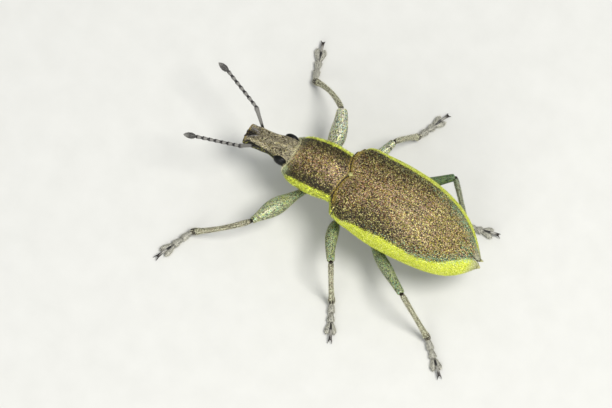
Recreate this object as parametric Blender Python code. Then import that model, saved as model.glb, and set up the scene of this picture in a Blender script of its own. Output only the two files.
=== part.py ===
"""Chlorophanus viridis, a short-nosed weevil with yellow sides, life size and standing.

Metres, +Z up. The head points to -Y and the beetle's left side is +X. The origin is on the floor
under the middle of the whole animal. Every place below is measured in millimetres back from the
scutellum (Y), out from the middle line (X) and up from the floor (Z), and the finished animal is
then moved over the origin.
"""

import math

import bmesh
import bpy
import numpy as np
from mathutils import Matrix, Vector

MM = 0.001

GAP = 0.08  # between the plates and segments, which only touch on the real beetle
WALL = 0.5  # thickness of a wing case, and the least thickness of a leg

# Each row is the outline of the hind body at one place: back from the scutellum, half width,
# height of the top, of the side edge where the wing case ends, and of the belly
HIND_BODY = (
    (-0.14, 1.42, 3.36, 2.84, 1.62),
    (0.00, 1.64, 3.46, 2.80, 1.50),
    (0.30, 1.79, 3.60, 2.74, 1.40),
    (1.00, 1.87, 3.79, 2.60, 1.28),
    (2.00, 1.94, 3.92, 2.47, 1.20),
    (3.00, 1.91, 3.86, 2.41, 1.18),
    (4.00, 1.78, 3.60, 2.31, 1.14),
    (4.90, 1.53, 3.10, 2.14, 1.20),
    (5.45, 1.24, 2.72, 1.98, 1.29),
    (5.90, 0.86, 2.38, 1.86, 1.42),
    (6.22, 0.50, 2.12, 1.80, 1.58),
    (6.40, 0.27, 1.99, 1.81, 1.70),
)
ELYTRON_START = -0.06
THORAX_START = -0.02
THORAX_END = 2.20
ABDOMEN_END = 6.20
VENTRITE_EDGES = (3.30, 4.20, 4.75, 5.25)
VENTRITE_STEP = 0.05
MUCRO = (6.58, 0.16, 1.93)  # tip of the small spine that ends each wing case
MUCRO_RADIUS = 0.045
SECTION_ROUNDNESS = 2.2  # 2 is an ellipse, more is squarer
BELLY_ROUNDNESS = 2.0
BELLY_INSET = 0.10  # how far the belly's side lies inside the edge of the wing cases
SHOULDER_LOBE = (0.6, 0.10, 0.12, 1.2)  # how the base of a wing case runs forward: fade, rise, reach, width

# Prothorax: place, half width, top, middle height, underside
PROTHORAX = (
    (-2.40, 0.78, 2.98, 2.24, 1.50),
    (-2.22, 0.95, 3.14, 2.32, 1.44),
    (-2.00, 1.05, 3.27, 2.40, 1.42),
    (-1.60, 1.12, 3.42, 2.50, 1.43),
    (-1.10, 1.15, 3.53, 2.60, 1.48),
    (-0.60, 1.11, 3.54, 2.70, 1.56),
    (-0.30, 1.09, 3.49, 2.76, 1.62),
    (-0.14, 1.12, 3.42, 2.78, 1.66),
)
PROTHORAX_ROUNDNESS = 2.15
BASE_SINUS = 0.12  # how far the hind edge of the pronotum is drawn forward beside its middle lobe
BASE_SINUS_FADE = 0.5

# Head and rostrum: place, half width, middle height, half height above it and below it
HEAD = (
    (-2.48, 0.62, 2.34, 0.58, 0.62),
    (-2.75, 0.63, 2.40, 0.52, 0.60),
    (-3.05, 0.54, 2.42, 0.42, 0.50),
    (-3.35, 0.45, 2.39, 0.35, 0.42),
    (-3.75, 0.42, 2.32, 0.31, 0.36),
    (-4.15, 0.45, 2.24, 0.28, 0.32),
    (-4.36, 0.47, 2.19, 0.25, 0.28),
    (-4.50, 0.40, 2.15, 0.18, 0.22),
)
HEAD_ROUNDNESS = 2.1
ROSTRUM_ROUNDNESS = 3.0
ROSTRUM_START, ROSTRUM_BLEND = -2.8, 0.7
NOTCH = (-4.58, 0.26, 0.30)  # the dark notch in the rostrum's tip: place, half width, depth
NOTCH_HEIGHTS = (2.16, 2.90)
SCROBE = ((0.52, -4.25, 2.26), (0.55, -3.80, 2.24), (0.52, -3.25, 2.02))
SCROBE_RADII = (0.10, 0.13, 0.13, 0.12, 0.11, 0.10, 0.08)
MANDIBLE = (0.12, -4.42, 2.03)
MANDIBLE_SIZE = (0.14, 0.19, 0.12)
KEEL_SIZE = (0.045, 0.78, 0.05)  # the fine ridge along the top of the rostrum
KEEL_PLACE = (-3.62, 2.63)
EYE = (0.56, -2.80, 2.50)
EYE_SIZE = (0.20, 0.31, 0.26)

SCUTELLUM = (0.05, 3.43)  # place and height
SCUTELLUM_SIZE = (0.14, 0.12, 0.09)
SCUTELLUM_TILT = math.radians(18)

# Feelers, from where the scape leaves the rostrum: base, elbow, start of the club, tip
ANTENNAE = {
    "left": ((0.50, -4.12, 2.30), (1.05, -4.56, 2.86), (1.64, -6.31, 2.87), (1.82, -6.79, 2.87)),
    "right": ((-0.50, -4.12, 2.30), (-0.89, -4.74, 2.82), (-1.69, -6.47, 2.84), (-1.82, -6.97, 2.84)),
}
SCAPE_RADII = (0.17, 0.18, 0.21)
FUNICLE_SEGMENTS = 7
FUNICLE_BEAD = ((0.0, 0.15), (0.45, 0.19), (0.8, 0.20))  # radius along each joint, from its waist
CLUB_RADIUS = 0.21
CLUB_SHAPE = ((0.0, 0.70), (0.15, 0.88), (0.4, 1.0), (0.65, 0.85), (0.85, 0.55), (1.0, 0.15))

# Legs in the photo's stance: knee, ankle and claw tip of each
LEGS = {
    "front_left": ((3.13, -2.63, 1.50), (4.25, -4.55, 0.30), (6.15, -5.38)),
    "front_right": ((-3.19, -1.60, 1.81), (-4.48, -3.15, 0.30), (-6.41, -3.69)),
    "mid_left": ((3.26, 1.04, 2.07), (3.99, 1.89, 0.30), (5.65, 2.65)),
    "mid_right": ((-3.10, 0.95, 1.66), (-4.54, 1.74, 0.30), (-6.25, 2.46)),
    "hind_left": ((2.94, 4.23, 1.96), (3.32, 6.09, 0.30), (4.65, 7.35)),
    "hind_right": ((-2.70, 3.86, 2.38), (-2.08, 5.15, 0.34), (-2.52, 6.62)),
}
# Hip of each pair: out from the middle, place, height, then its half sizes
COXAE = {
    "front": ((0.36, -1.24, 1.40), (0.30, 0.33, 0.33)),
    "mid": ((0.66, 0.46, 1.26), (0.31, 0.30, 0.30)),
    "hind": ((0.92, 1.88, 1.17), (0.38, 0.26, 0.27)),
}
FEMUR_START = {"front": (0.24, 0.02, -0.20), "mid": (0.26, 0.02, -0.17), "hind": (0.26, 0.10, -0.15)}
FEMUR_RADIUS = {"front": 0.38, "mid": 0.27, "hind": 0.27}
FEMUR_SWELL = (0.56, 0.24)  # where a thigh is thickest along its length, and how far that spreads
HIP_RADIUS = 0.21
KNEE_NECK = 0.85
TIBIA_RADIUS = {"front": 0.24, "mid": 0.22, "hind": 0.23}
FEMUR_BOW = {  # how far the middle of each thigh is off the straight line from hip to knee
    "front_left": (0.0, 0.0, 0.10),
    "front_right": (0.0, 0.22, 0.08),
    "mid_left": (0.0, -0.20, 0.10),
    "mid_right": (0.0, -0.08, 0.08),
    "hind_left": (0.0, -0.07, 0.06),
    "hind_right": (0.0, -0.10, 0.06),
}
TIBIA_BOW = {"front": 0.15, "mid": 0.05, "hind": 0.02}  # how far the shin bows outward
TIBIA_TAPER = (0.86, 0.20)  # its radius at the knee, and what it gains down to the ankle, as shares
JOINT_INSET = 0.07
ANKLE_INSET = 0.12

# Foot, from the ankle to the claw tip of a foot 2 mm long: start, end, half width and height at
# each end
FOOT_LENGTH = 2.0
FOOT_SEGMENTS = ((0.02, 0.52, 0.15, 0.19, 0.36, 0.30), (0.44, 0.96, 0.15, 0.20, 0.30, 0.27))
LOBE = (0.86, 1.36, 0.13, 0.16, 0.26, 0.20)
LOBE_SPREAD = math.radians(20)
CLAW_SEGMENT = ((1.00, 0.20), (1.45, 0.23), (1.74, 0.15))
CLAW_SEGMENT_RADII = (0.10, 0.12, 0.13)
CLAW = ((1.70, 0.05, 0.14), (1.86, 0.12, 0.13), (1.97, 0.15, 0.05))
CLAW_RADII = (0.075, 0.055, 0.025)

COLOURS = {
    "brown": ((0.105, 0.060, 0.030), 0.55),
    "yellow": ((0.620, 0.640, 0.080), 0.55),
    "grey": ((0.270, 0.300, 0.190), 0.60),
    "pale": ((0.450, 0.470, 0.280), 0.60),
    "black": ((0.010, 0.010, 0.012), 0.15),
    "feeler": ((0.110, 0.095, 0.085), 0.60),
}


def clear_scene():
    for obj in list(bpy.data.objects):
        bpy.data.objects.remove(obj)


def row_at(table, place):
    """The values of a table at one place, on a smooth curve through its rows."""
    rows = np.array(sorted(table), float)
    places, values = rows[:, 0], rows[:, 1:]
    slopes = np.gradient(values, places, axis=0)
    k = int(np.clip(np.searchsorted(places, place) - 1, 0, len(places) - 2))
    step = places[k + 1] - places[k]
    t = (place - places[k]) / step
    return (
        (2 * t**3 - 3 * t**2 + 1) * values[k]
        + (t**3 - 2 * t**2 + t) * step * slopes[k]
        + (3 * t**2 - 2 * t**3) * values[k + 1]
        + (t**3 - t**2) * step * slopes[k + 1]
    )


def material(name, colour):
    (red, green, blue), roughness = COLOURS[colour]
    made = bpy.data.materials.new(name)
    made.use_nodes = True
    shader = made.node_tree.nodes["Principled BSDF"]
    shader.inputs["Base Color"].default_value = (red, green, blue, 1)
    shader.inputs["Roughness"].default_value = roughness
    return made


def finish(name, shape, colour):
    """One closed mesh object from a bmesh in millimetres, facing out and shaded smooth."""
    bmesh.ops.recalc_face_normals(shape, faces=shape.faces)
    bmesh.ops.triangulate(shape, faces=shape.faces)
    bmesh.ops.scale(shape, vec=(MM, MM, MM), verts=shape.verts)
    mesh = bpy.data.meshes.new(name)
    shape.to_mesh(mesh)
    shape.free()
    mesh.shade_smooth()
    mesh.set_sharp_from_angle(angle=math.radians(40))
    obj = bpy.data.objects.new(name, mesh)
    bpy.context.scene.collection.objects.link(obj)
    mesh.materials.append(material(name, colour))
    return obj


def loft(rings):
    """A closed bmesh skinned over rings of equal length, with a flat end on the first and last."""
    shape = bmesh.new()
    made = [[shape.verts.new(point) for point in ring] for ring in rings]
    count = len(made[0])
    for one, two in zip(made, made[1:]):
        for i in range(count):
            j = (i + 1) % count
            shape.faces.new((one[i], one[j], two[j], two[i]))
    for ring in (made[0], made[-1]):
        middle = shape.verts.new(sum((v.co for v in ring), Vector()) / count)
        for i in range(count):
            shape.faces.new((ring[i], ring[(i + 1) % count], middle))
    return shape


def superellipse(angle, half_x, half_z, roundness):
    c, s = math.cos(angle), math.sin(angle)
    x = math.copysign(abs(c) ** (2 / roundness), c)
    z = math.copysign(abs(s) ** (2 / roundness), s)
    return half_x * x, half_z * z


def ellipsoid(centre, size, segments=16, rings=9):
    shape = bmesh.new()
    bmesh.ops.create_uvsphere(shape, u_segments=segments, v_segments=rings, radius=1)
    bmesh.ops.scale(shape, vec=size, verts=shape.verts)
    bmesh.ops.translate(shape, vec=centre, verts=shape.verts)
    return shape


def bezier(points, count):
    """Points along the quadratic or straight curve that the given control points pull."""
    found = []
    for i in range(count):
        t = i / (count - 1)
        level = [Vector(p) for p in points]
        while len(level) > 1:
            level = [a.lerp(b, t) for a, b in zip(level, level[1:])]
        found.append(level[0])
    return found


def tube(path, radii, sides=12, flat_floor=False):
    """A closed bmesh round a path, with one radius at each of its points."""
    rings = []
    side = None
    for i, here in enumerate(path):
        ahead = path[min(i + 1, len(path) - 1)] - path[max(i - 1, 0)]
        ahead.normalize()
        if side is None:
            side = ahead.cross(Vector((0, 0, 1)))
        side = (side - ahead * side.dot(ahead)).normalized()
        over = ahead.cross(side)
        ring = []
        for k in range(sides):
            angle = 2 * math.pi * k / sides
            point = here + float(radii[i]) * (math.cos(angle) * side + math.sin(angle) * over)
            ring.append(point)
        rings.append(ring)
    if flat_floor:
        for ring in rings:
            for point in ring:
                point.z = max(point.z, 0)
    return loft(rings)


def boolean(obj, shapes, operation):
    """Joins closed bmeshes to an object, or cuts them from it, and keeps its largest surface."""
    helpers = bpy.data.collections.new("helpers")
    bpy.context.scene.collection.children.link(helpers)
    for shape in shapes:
        helper = finish("helper", shape, "black")
        bpy.context.scene.collection.objects.unlink(helper)
        helpers.objects.link(helper)
    modifier = obj.modifiers.new("boolean", "BOOLEAN")
    modifier.operation = operation
    modifier.solver = "EXACT"
    modifier.operand_type = "COLLECTION"
    modifier.collection = helpers
    bpy.context.view_layer.update()
    graph = bpy.context.evaluated_depsgraph_get()
    made = bpy.data.meshes.new_from_object(obj.evaluated_get(graph))
    obj.modifiers.remove(modifier)
    old = obj.data
    obj.data = made
    bpy.data.meshes.remove(old)
    for helper in list(helpers.objects):
        bpy.data.objects.remove(helper)
    bpy.data.collections.remove(helpers)
    keep_largest(obj)
    return obj


def keep_largest(obj):
    shape = bmesh.new()
    shape.from_mesh(obj.data)
    bodies = []
    waiting = set(shape.verts)
    while waiting:
        body = set()
        edge_of = [waiting.pop()]
        while edge_of:
            vert = edge_of.pop()
            body.add(vert)
            for edge in vert.link_edges:
                other = edge.other_vert(vert)
                if other in waiting:
                    waiting.remove(other)
                    edge_of.append(other)
        bodies.append(body)
    bodies.sort(key=len)
    for body in bodies[:-1]:
        bmesh.ops.delete(shape, geom=list(body), context="VERTS")
    bmesh.ops.triangulate(shape, faces=shape.faces)
    shape.to_mesh(obj.data)
    shape.free()
    obj.data.shade_smooth()
    obj.data.set_sharp_from_angle(angle=math.radians(40))


def inner_half_width(half):
    """Half width of the space under the wing cases, where a wall is left all round it."""
    return max(half - WALL, 0.25 * half)


def roof(place, x, drop):
    """Height of the underside of the wing case at x, lowered by drop."""
    half, top, edge, _ = row_at(HIND_BODY, place)
    flat = inner_half_width(half)
    wall = min(WALL, 0.6 * (top - edge))
    rise = max(top - edge - wall, 0)
    inside = max(1 - (abs(x) / flat) ** 2, 0)
    return edge + rise * math.sqrt(inside) - drop


def elytron_ring(place, side):
    half, top, edge, _ = row_at(HIND_BODY, place)
    seam = GAP / 2
    outer = []
    steps = 12
    for i in range(steps + 1):
        x, z = superellipse(math.pi / 2 * (1 - i / steps), half, top - edge, SECTION_ROUNDNESS)
        outer.append((max(x, seam), edge + z))
    flat = inner_half_width(half)
    across = [max(flat * math.sin(math.pi / 2 * (1 - i / 6)), seam) for i in range(7)]
    inner = [(x, roof(place, x, 0)) for x in across]
    return [Vector((side * x, place - base_lobe(place, x), z)) for x, z in outer + inner]


def base_lobe(place, x):
    """The front edge of the wing case runs forward beside the scutellum and back at its middle."""
    fade, rise, reach, width = SHOULDER_LOBE
    near = max(1 - (place - ELYTRON_START) / fade, 0)
    return near * (rise * (1 - math.cos(math.pi * min(x / width, 1))) / 2 - reach)


def make_elytron(name, side):
    fore = np.linspace(ELYTRON_START, 0.6, 5)
    rear = np.linspace(5.75, HIND_BODY[-1][0], 5)
    places = np.concatenate([fore, np.linspace(1.0, 5.5, 11), rear])
    rings = [elytron_ring(float(place), side) for place in places]
    count = len(rings[0])
    tip = Vector((side * MUCRO[1], MUCRO[0], MUCRO[2]))
    middle = sum(rings[-1], Vector()) / count
    last = [tip + (point - middle).normalized() * MUCRO_RADIUS for point in rings[-1]]
    rings.append([a.lerp(b, 0.55) for a, b in zip(rings[-1], last)])
    rings.append(last)
    return finish(name, loft(rings), "brown")


def underside_ring(place, shrink):
    half, _, edge, belly = row_at(HIND_BODY, place)
    edge -= GAP
    below = []
    steps = 16
    for i in range(steps + 1):
        angle = math.pi + math.pi * i / steps
        x, z = superellipse(angle, half - BELLY_INSET, edge - belly, BELLY_ROUNDNESS)
        below.append((x * shrink, edge + z * shrink))
    above = []
    for i in range(9):
        x = inner_half_width(half) * math.cos(math.pi * i / 8)
        above.append((x, roof(place, x, GAP)))
    return [Vector((x, place, z)) for x, z in below + above]


def make_thorax():
    places = np.concatenate([np.linspace(THORAX_START, 0.3, 3), np.linspace(0.6, THORAX_END, 7)])
    rings = [underside_ring(float(place), 1.0) for place in places]
    thorax = finish("thorax", loft(rings), "grey")
    cutters = []
    for pair in ("mid", "hind"):
        cutters += [coxa_shape(pair, side, GAP) for side in (1, -1)]
    return boolean(thorax, cutters, "DIFFERENCE")


def make_abdomen():
    steps = [(THORAX_END + GAP, 1.0)]
    for edge in VENTRITE_EDGES:
        steps += [(edge - 0.30, 1.0), (edge - 0.06, 1.0), (edge, 1 - VENTRITE_STEP), (edge + 0.06, 1.0)]
    steps += [(5.60, 1.0), (5.95, 1.0), (ABDOMEN_END, 1.0)]
    rings = [underside_ring(place, shrink) for place, shrink in sorted(steps)]
    abdomen = finish("abdomen", loft(rings), "grey")
    cutters = [coxa_shape("hind", side, GAP) for side in (1, -1)]
    return boolean(abdomen, cutters, "DIFFERENCE")


def prothorax_ring(place):
    half, top, middle, bottom = row_at(PROTHORAX, place)
    ring = []
    for i in range(28):
        angle = 2 * math.pi * i / 28
        height = top - middle if math.sin(angle) >= 0 else middle - bottom
        x, z = superellipse(angle, half, height, PROTHORAX_ROUNDNESS)
        near = max(1 - (PROTHORAX[-1][0] - place) / BASE_SINUS_FADE, 0)
        across = min(abs(x) / half, 1)
        sinus = BASE_SINUS * near * math.sin(math.pi * across) if z >= 0 else 0
        ring.append(Vector((x, place - sinus, middle + z)))
    return ring


def make_pronotum():
    start, end = PROTHORAX[0][0], PROTHORAX[-1][0]
    places = np.concatenate([np.linspace(start, start + 0.4, 5), np.linspace(start + 0.65, end, 9)])
    pronotum = finish("pronotum", loft([prothorax_ring(float(p)) for p in places]), "brown")
    cutters = [coxa_shape("front", side, GAP) for side in (1, -1)]
    return boolean(pronotum, cutters, "DIFFERENCE")


def head_ring(place):
    half, middle, above, below = row_at(HEAD, place)
    nose = min(max((ROSTRUM_START - place) / ROSTRUM_BLEND, 0), 1)
    roundness = HEAD_ROUNDNESS + (ROSTRUM_ROUNDNESS - HEAD_ROUNDNESS) * nose
    ring = []
    for i in range(24):
        angle = 2 * math.pi * (i + 0.5) / 24
        height = above if math.sin(angle) >= 0 else below
        x, z = superellipse(angle, half, height, roundness)
        ring.append(Vector((x, place, middle + z)))
    return ring


def scrobe(side):
    """The slanting groove along the rostrum's side, from the feeler's root towards the throat."""
    path = bezier([(side * x, y, z) for x, y, z in SCROBE], len(SCROBE_RADII))
    return tube(path, SCROBE_RADII, 10)


def notch():
    """The wedge cut out of the top of the rostrum's tip."""
    place, half, depth = NOTCH
    wedge = bmesh.new()
    corners = [(-half, place), (half, place), (0, place + depth)]
    ends = [[wedge.verts.new((x, y, z)) for x, y in corners] for z in NOTCH_HEIGHTS]
    wedge.faces.new(reversed(ends[0]))
    wedge.faces.new(ends[1])
    for i in range(3):
        j = (i + 1) % 3
        wedge.faces.new((ends[0][i], ends[0][j], ends[1][j], ends[1][i]))
    return wedge


def eye_shape(side, grow=0.0):
    x, y, z = EYE
    return ellipsoid((side * x, y, z), [size + grow for size in EYE_SIZE])


def make_head():
    places = np.linspace(HEAD[0][0], HEAD[-1][0], 17)
    head = finish("head", loft([head_ring(float(p)) for p in places]), "brown")
    boolean(head, [ellipsoid((0, *KEEL_PLACE), KEEL_SIZE, 8, 6)], "UNION")
    cuts = [notch()]
    mandibles = []
    x, y, z = MANDIBLE
    for side in (1, -1):
        cuts += [eye_shape(side, GAP), scrobe(side)]
        mandibles.append(ellipsoid((side * x, y, z), MANDIBLE_SIZE, 10, 7))
    boolean(head, cuts, "DIFFERENCE")
    return boolean(head, mandibles, "UNION")


def coxa_shape(pair, side, grow=0.0):
    (x, y, z), size = COXAE[pair]
    return ellipsoid((side * x, y, z), [s + grow for s in size], 12, 7)


def limb_radii(count, largest):
    """Thickness along a thigh: slim at the hip, thickest past its middle, necked at the knee."""
    found = []
    least = WALL / 2
    middle, spread = FEMUR_SWELL
    for i in range(count):
        t = i / (count - 1)
        swell = math.exp(-(((t - middle) / spread) ** 2))
        root = HIP_RADIUS + (least - HIP_RADIUS) * min(t / 0.15, 1)
        found.append(root + (largest - least) * swell)
    found[-1] *= KNEE_NECK
    return found


def make_femur_and_coxa(name, pair, side, knee):
    (x, y, z), _ = COXAE[pair]
    reach = FEMUR_START[pair]
    start = Vector((side * (x + reach[0]), y + reach[1], z + reach[2]))
    thigh = (knee - start).normalized()
    end = knee - thigh * JOINT_INSET
    bend = (start + end) / 2 + 2 * Vector(FEMUR_BOW[name])
    path = bezier([start, bend, end], 11)
    finish("femur_" + name, tube(path, limb_radii(11, FEMUR_RADIUS[pair])), "grey")
    coxa = finish("coxa_" + name, coxa_shape(pair, side), "grey")
    socket = tube([start - thigh * GAP, start + thigh], [HIP_RADIUS + GAP] * 2, 9)
    boolean(coxa, [socket], "DIFFERENCE")


def make_tibia(name, pair, side, knee, ankle):
    shin = (ankle - knee).normalized()
    outward = Vector((side, 0, 0.3))
    outward = (outward - shin * outward.dot(shin)).normalized()
    bend = (knee + ankle) / 2 + outward * 2 * TIBIA_BOW[pair]
    path = bezier([knee + shin * JOINT_INSET, bend, ankle - shin * ANKLE_INSET], 9)
    least, gain = TIBIA_TAPER
    radii = [TIBIA_RADIUS[pair] * (least + gain * (i / 8) ** 2) for i in range(9)]
    finish("tibia_" + name, tube(path, radii, 12, True), "pale")


def make_leg(name, knee, ankle, claw):
    pair = name.split("_")[0]
    side = 1 if name.endswith("left") else -1
    knee, ankle = Vector(knee), Vector(ankle)
    make_femur_and_coxa(name, pair, side, knee)
    make_tibia(name, pair, side, knee, ankle)
    make_tarsus("tarsus_" + name, ankle, Vector((*claw, 0)))


def boat(start, end, wide_start, wide_end, high_start, high_end, turn=0.0):
    """A foot segment, flat below on the floor and round above."""
    rings = []
    for i in range(4):
        t = i / 3
        wide = wide_start + (wide_end - wide_start) * math.sin(math.pi / 2 * t)
        high = high_start + (high_end - high_start) * t
        wide *= 0.82 if i == 3 else 1
        ring = []
        for k in range(6):
            angle = math.pi * k / 5
            ring.append((wide * math.cos(angle), high * (0.25 + 0.75 * math.sin(angle))))
        ring += [(-0.8 * wide, 0), (0.8 * wide, 0)]
        along = (end - start) * t
        turned = Matrix.Rotation(turn, 3, "Z")
        rings.append([turned @ Vector((along, y, z)) + Vector((start, 0, 0)) for y, z in ring])
    return loft(rings)


def make_tarsus(name, ankle, claw):
    """The foot lies on the floor from the ankle to the claw tip: two joints, a lobed pad, claws."""
    pieces = [boat(*row) for row in FOOT_SEGMENTS[1:]]
    pieces += [boat(*LOBE, turn=side * LOBE_SPREAD) for side in (1, -1)]
    pieces.append(tube([Vector((x, 0, z)) for x, z in CLAW_SEGMENT], CLAW_SEGMENT_RADII, 8))
    for side in (1, -1):
        path = bezier([(x, side * y, z) for x, y, z in CLAW], 4)
        radii = np.interp(np.linspace(0, 1, 4), (0, 0.5, 1), CLAW_RADII)
        pieces.append(tube(path, radii, 6, True))
    foot = boolean(finish(name, boat(*FOOT_SEGMENTS[0]), "pale"), pieces, "UNION")
    ahead = claw - Vector((ankle.x, ankle.y, 0))
    stretch = ahead.length / FOOT_LENGTH
    turn = Matrix.Rotation(math.atan2(ahead.y, ahead.x), 4, "Z")
    place = Matrix.Translation(Vector((ankle.x, ankle.y, 0)) * MM)
    foot.data.transform(place @ turn @ Matrix.Diagonal((stretch, 1, 1, 1)))
    return foot


def make_scape(name, base, elbow):
    arm = (elbow - base).normalized()
    path = bezier([base + arm * GAP, elbow - arm * GAP], len(SCAPE_RADII))
    finish(name, tube(path, SCAPE_RADII, 10), "feeler")


def make_funicle(name, elbow, club):
    """The lash of bead-like joints, with a waist between each two."""
    lash = (club - elbow).normalized()
    start, end = elbow + lash * (GAP / 2), club - lash * (GAP / 2)
    path, radii = [], []
    for k in range(FUNICLE_SEGMENTS):
        for share, radius in FUNICLE_BEAD:
            path.append(start.lerp(end, (k + share) / FUNICLE_SEGMENTS))
            radii.append(radius)
    path.append(end)
    radii.append(FUNICLE_BEAD[0][1])
    finish(name, tube(path, radii, 10), "feeler")


def make_club(name, club, tip):
    point = (tip - club).normalized()
    start = club + point * (GAP / 2)
    path = [start.lerp(tip, share) for share, _ in CLUB_SHAPE]
    finish(name, tube(path, [CLUB_RADIUS * size for _, size in CLUB_SHAPE], 10), "feeler")


def make_antenna(side_name):
    base, elbow, club, tip = (Vector(place) for place in ANTENNAE[side_name])
    make_scape("scape_" + side_name, base, elbow)
    make_funicle("funicle_" + side_name, elbow, club)
    make_club("club_" + side_name, club, tip)


def make_scutellum():
    shape = ellipsoid((0, 0, 0), SCUTELLUM_SIZE, 12, 7)
    turn = Matrix.Rotation(SCUTELLUM_TILT, 3, "X")
    bmesh.ops.rotate(shape, cent=(0, 0, 0), matrix=turn, verts=shape.verts)
    bmesh.ops.translate(shape, vec=(0, *SCUTELLUM), verts=shape.verts)
    return finish("scutellum", shape, "yellow")


def centre_on_floor():
    """Moves the whole animal so that the middle of its box, at the floor, is the origin."""
    objects = [obj for obj in bpy.context.scene.objects if obj.type == "MESH"]
    points = np.concatenate([np.array([v.co for v in obj.data.vertices]) for obj in objects])
    low, high = points.min(axis=0), points.max(axis=0)
    shift = Vector((-(low[0] + high[0]) / 2, -(low[1] + high[1]) / 2, -low[2]))
    for obj in objects:
        obj.data.transform(Matrix.Translation(shift))
        middle = sum((v.co for v in obj.data.vertices), Vector()) / len(obj.data.vertices)
        obj.data.transform(Matrix.Translation(-middle))
        obj.location = middle


def main():
    clear_scene()
    make_head()
    for side_name, side in (("left", 1), ("right", -1)):
        finish("eye_" + side_name, eye_shape(side), "black")
        make_elytron("elytron_" + side_name, side)
        make_antenna(side_name)
    make_pronotum()
    make_scutellum()
    make_thorax()
    make_abdomen()
    for name, joints in LEGS.items():
        make_leg(name, *joints)
    centre_on_floor()


main()
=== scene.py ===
"""A life-size weevil, Chlorophanus viridis, with yellow sides, standing on a pale floor.

The animal is made plate by plate. Lengths are in millimetres, measured back from the scutellum (Y),
out to the beetle's left (X) and up from the floor (Z), and each piece is moved to its place in the
frame, in metres, as it is finished.
"""

import math

import bmesh
import bpy
import numpy as np
from mathutils import Matrix, Vector


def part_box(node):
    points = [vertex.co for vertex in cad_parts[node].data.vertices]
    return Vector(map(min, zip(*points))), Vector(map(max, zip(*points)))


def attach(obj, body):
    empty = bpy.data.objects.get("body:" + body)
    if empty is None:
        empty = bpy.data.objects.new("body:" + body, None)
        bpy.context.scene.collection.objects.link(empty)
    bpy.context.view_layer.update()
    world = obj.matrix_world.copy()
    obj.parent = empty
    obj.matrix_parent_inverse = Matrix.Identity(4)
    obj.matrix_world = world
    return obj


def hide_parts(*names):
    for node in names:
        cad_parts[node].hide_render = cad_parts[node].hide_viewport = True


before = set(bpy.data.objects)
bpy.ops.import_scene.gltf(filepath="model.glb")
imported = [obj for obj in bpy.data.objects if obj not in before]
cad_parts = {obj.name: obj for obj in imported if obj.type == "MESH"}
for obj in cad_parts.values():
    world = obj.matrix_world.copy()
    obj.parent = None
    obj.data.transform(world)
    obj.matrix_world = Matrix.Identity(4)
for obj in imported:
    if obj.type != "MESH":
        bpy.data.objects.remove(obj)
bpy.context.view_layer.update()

MM = 0.001
SCUTELLUM = (0.0, 0.05, 3.43)
low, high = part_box("scutellum")
shift = (low + high) / 2 - Vector(SCUTELLUM) * MM


# Wing cases. Two hard, arched plates of chitin that close the back and meet at the suture. They are
# grown in one piece each, with ten rows of fine pits, a rolled side edge and a small spine at the tip.

# Outline of the hind body: place, half width, top, side edge where the wing case ends, belly
HIND_BODY = (
    (-0.30, 1.30, 3.35, 2.86, 1.70),
    (-0.14, 1.42, 3.41, 2.84, 1.62),
    (0.00, 1.64, 3.48, 2.80, 1.50),
    (0.30, 1.79, 3.60, 2.74, 1.40),
    (1.00, 1.87, 3.79, 2.60, 1.28),
    (2.00, 1.94, 3.92, 2.47, 1.20),
    (3.00, 1.91, 3.86, 2.41, 1.18),
    (4.00, 1.78, 3.60, 2.31, 1.14),
    (4.90, 1.53, 3.10, 2.14, 1.20),
    (5.45, 1.24, 2.72, 1.98, 1.29),
    (5.90, 0.86, 2.38, 1.86, 1.42),
    (6.22, 0.50, 2.12, 1.80, 1.58),
    (6.40, 0.27, 1.99, 1.81, 1.70),
)
BACK_ROUNDNESS = 2.2
SIDES = ((1, "left"), (-1, "right"))
ELYTRON_START = -0.26
# How far the front edge lies behind its start, by place across the body, and how soon that fades
ELYTRON_BASE = (
    (0.0, 0.26), (0.1, 0.215), (0.25, 0.14), (0.45, 0.075), (0.7, 0.03),
    (1.0, 0.02), (1.25, 0.08), (1.45, 0.20), (1.8, 0.28),
)
BASE_FADE = 0.7
ELYTRON_ROWS, ELYTRON_COLUMNS = 250, 104
ELYTRON_THICKNESS = 0.09
EDGE_FOLD = (0.15, 0.11)  # how far the rolled edge goes in and down
EDGE_FOLD_COLUMNS = 8
SEAM = (0.006, 0.016)  # half width of the suture, and what it gains at the tip
SUTURE = (0.02, 0.03)  # depth and half width of the dip along it
STRIAE = 10
STRIA = (0.008, 0.035)  # depth and half width
PIT = (0.016, 0.026, 0.115)  # depth, half width and distance
MUCRO = (0.17, 6.56, 1.93)
MUCRO_ROWS = 12

# Where the yellow side band ends above the side edge, in degrees round the section, by place
ELYTRON_BAND = (
    (-0.3, 7), (0.43, 10), (0.97, 19), (1.43, 22), (1.88, 25), (2.35, 28), (2.8, 28), (3.3, 27),
    (3.8, 25), (4.2, 26), (4.6, 31), (5.0, 39), (5.3, 50), (5.66, 61), (5.92, 73), (6.4, 86),
)
RIGHT_BAND = ((-0.3, 12), (0.3, 26), (0.97, 34), (2.0, 41), (3.3, 41), (5.0, 41), (5.7, 43), (6.4, 50))
BARE = (0.022, 0.014, 0.007)
YELLOW = (0.66, 0.72, 0.035)
# Lemon, yellow, olive and pale lemon band scales. The olive and the pale lemon are partly the band's own
# grain and partly painted shade and painted highlights on its powdery grains.
YELLOWS = ((0.82, 0.88, 0.10), (0.68, 0.76, 0.06), (0.36, 0.42, 0.02), (0.95, 0.97, 0.36))
YELLOW_SHARES = (0.50, 0.24, 0.13, 0.13)
PALE_YELLOW = (0.62, 0.60, 0.26)
TEALS = ((0.32, 0.60, 0.38), (0.08, 0.17, 0.10))
OLIVE_GREY = (0.42, 0.44, 0.24)
MINT = (0.46, 0.66, 0.40)
TIP_GREY = (0.52, 0.51, 0.36)
# Dark brown where wing cases and pronotum meet: partly their dark joint line, partly painted shadow in the
# gap between them.
RIM = (0.05, 0.032, 0.008)
OCHRE = (0.44, 0.32, 0.05)
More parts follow.
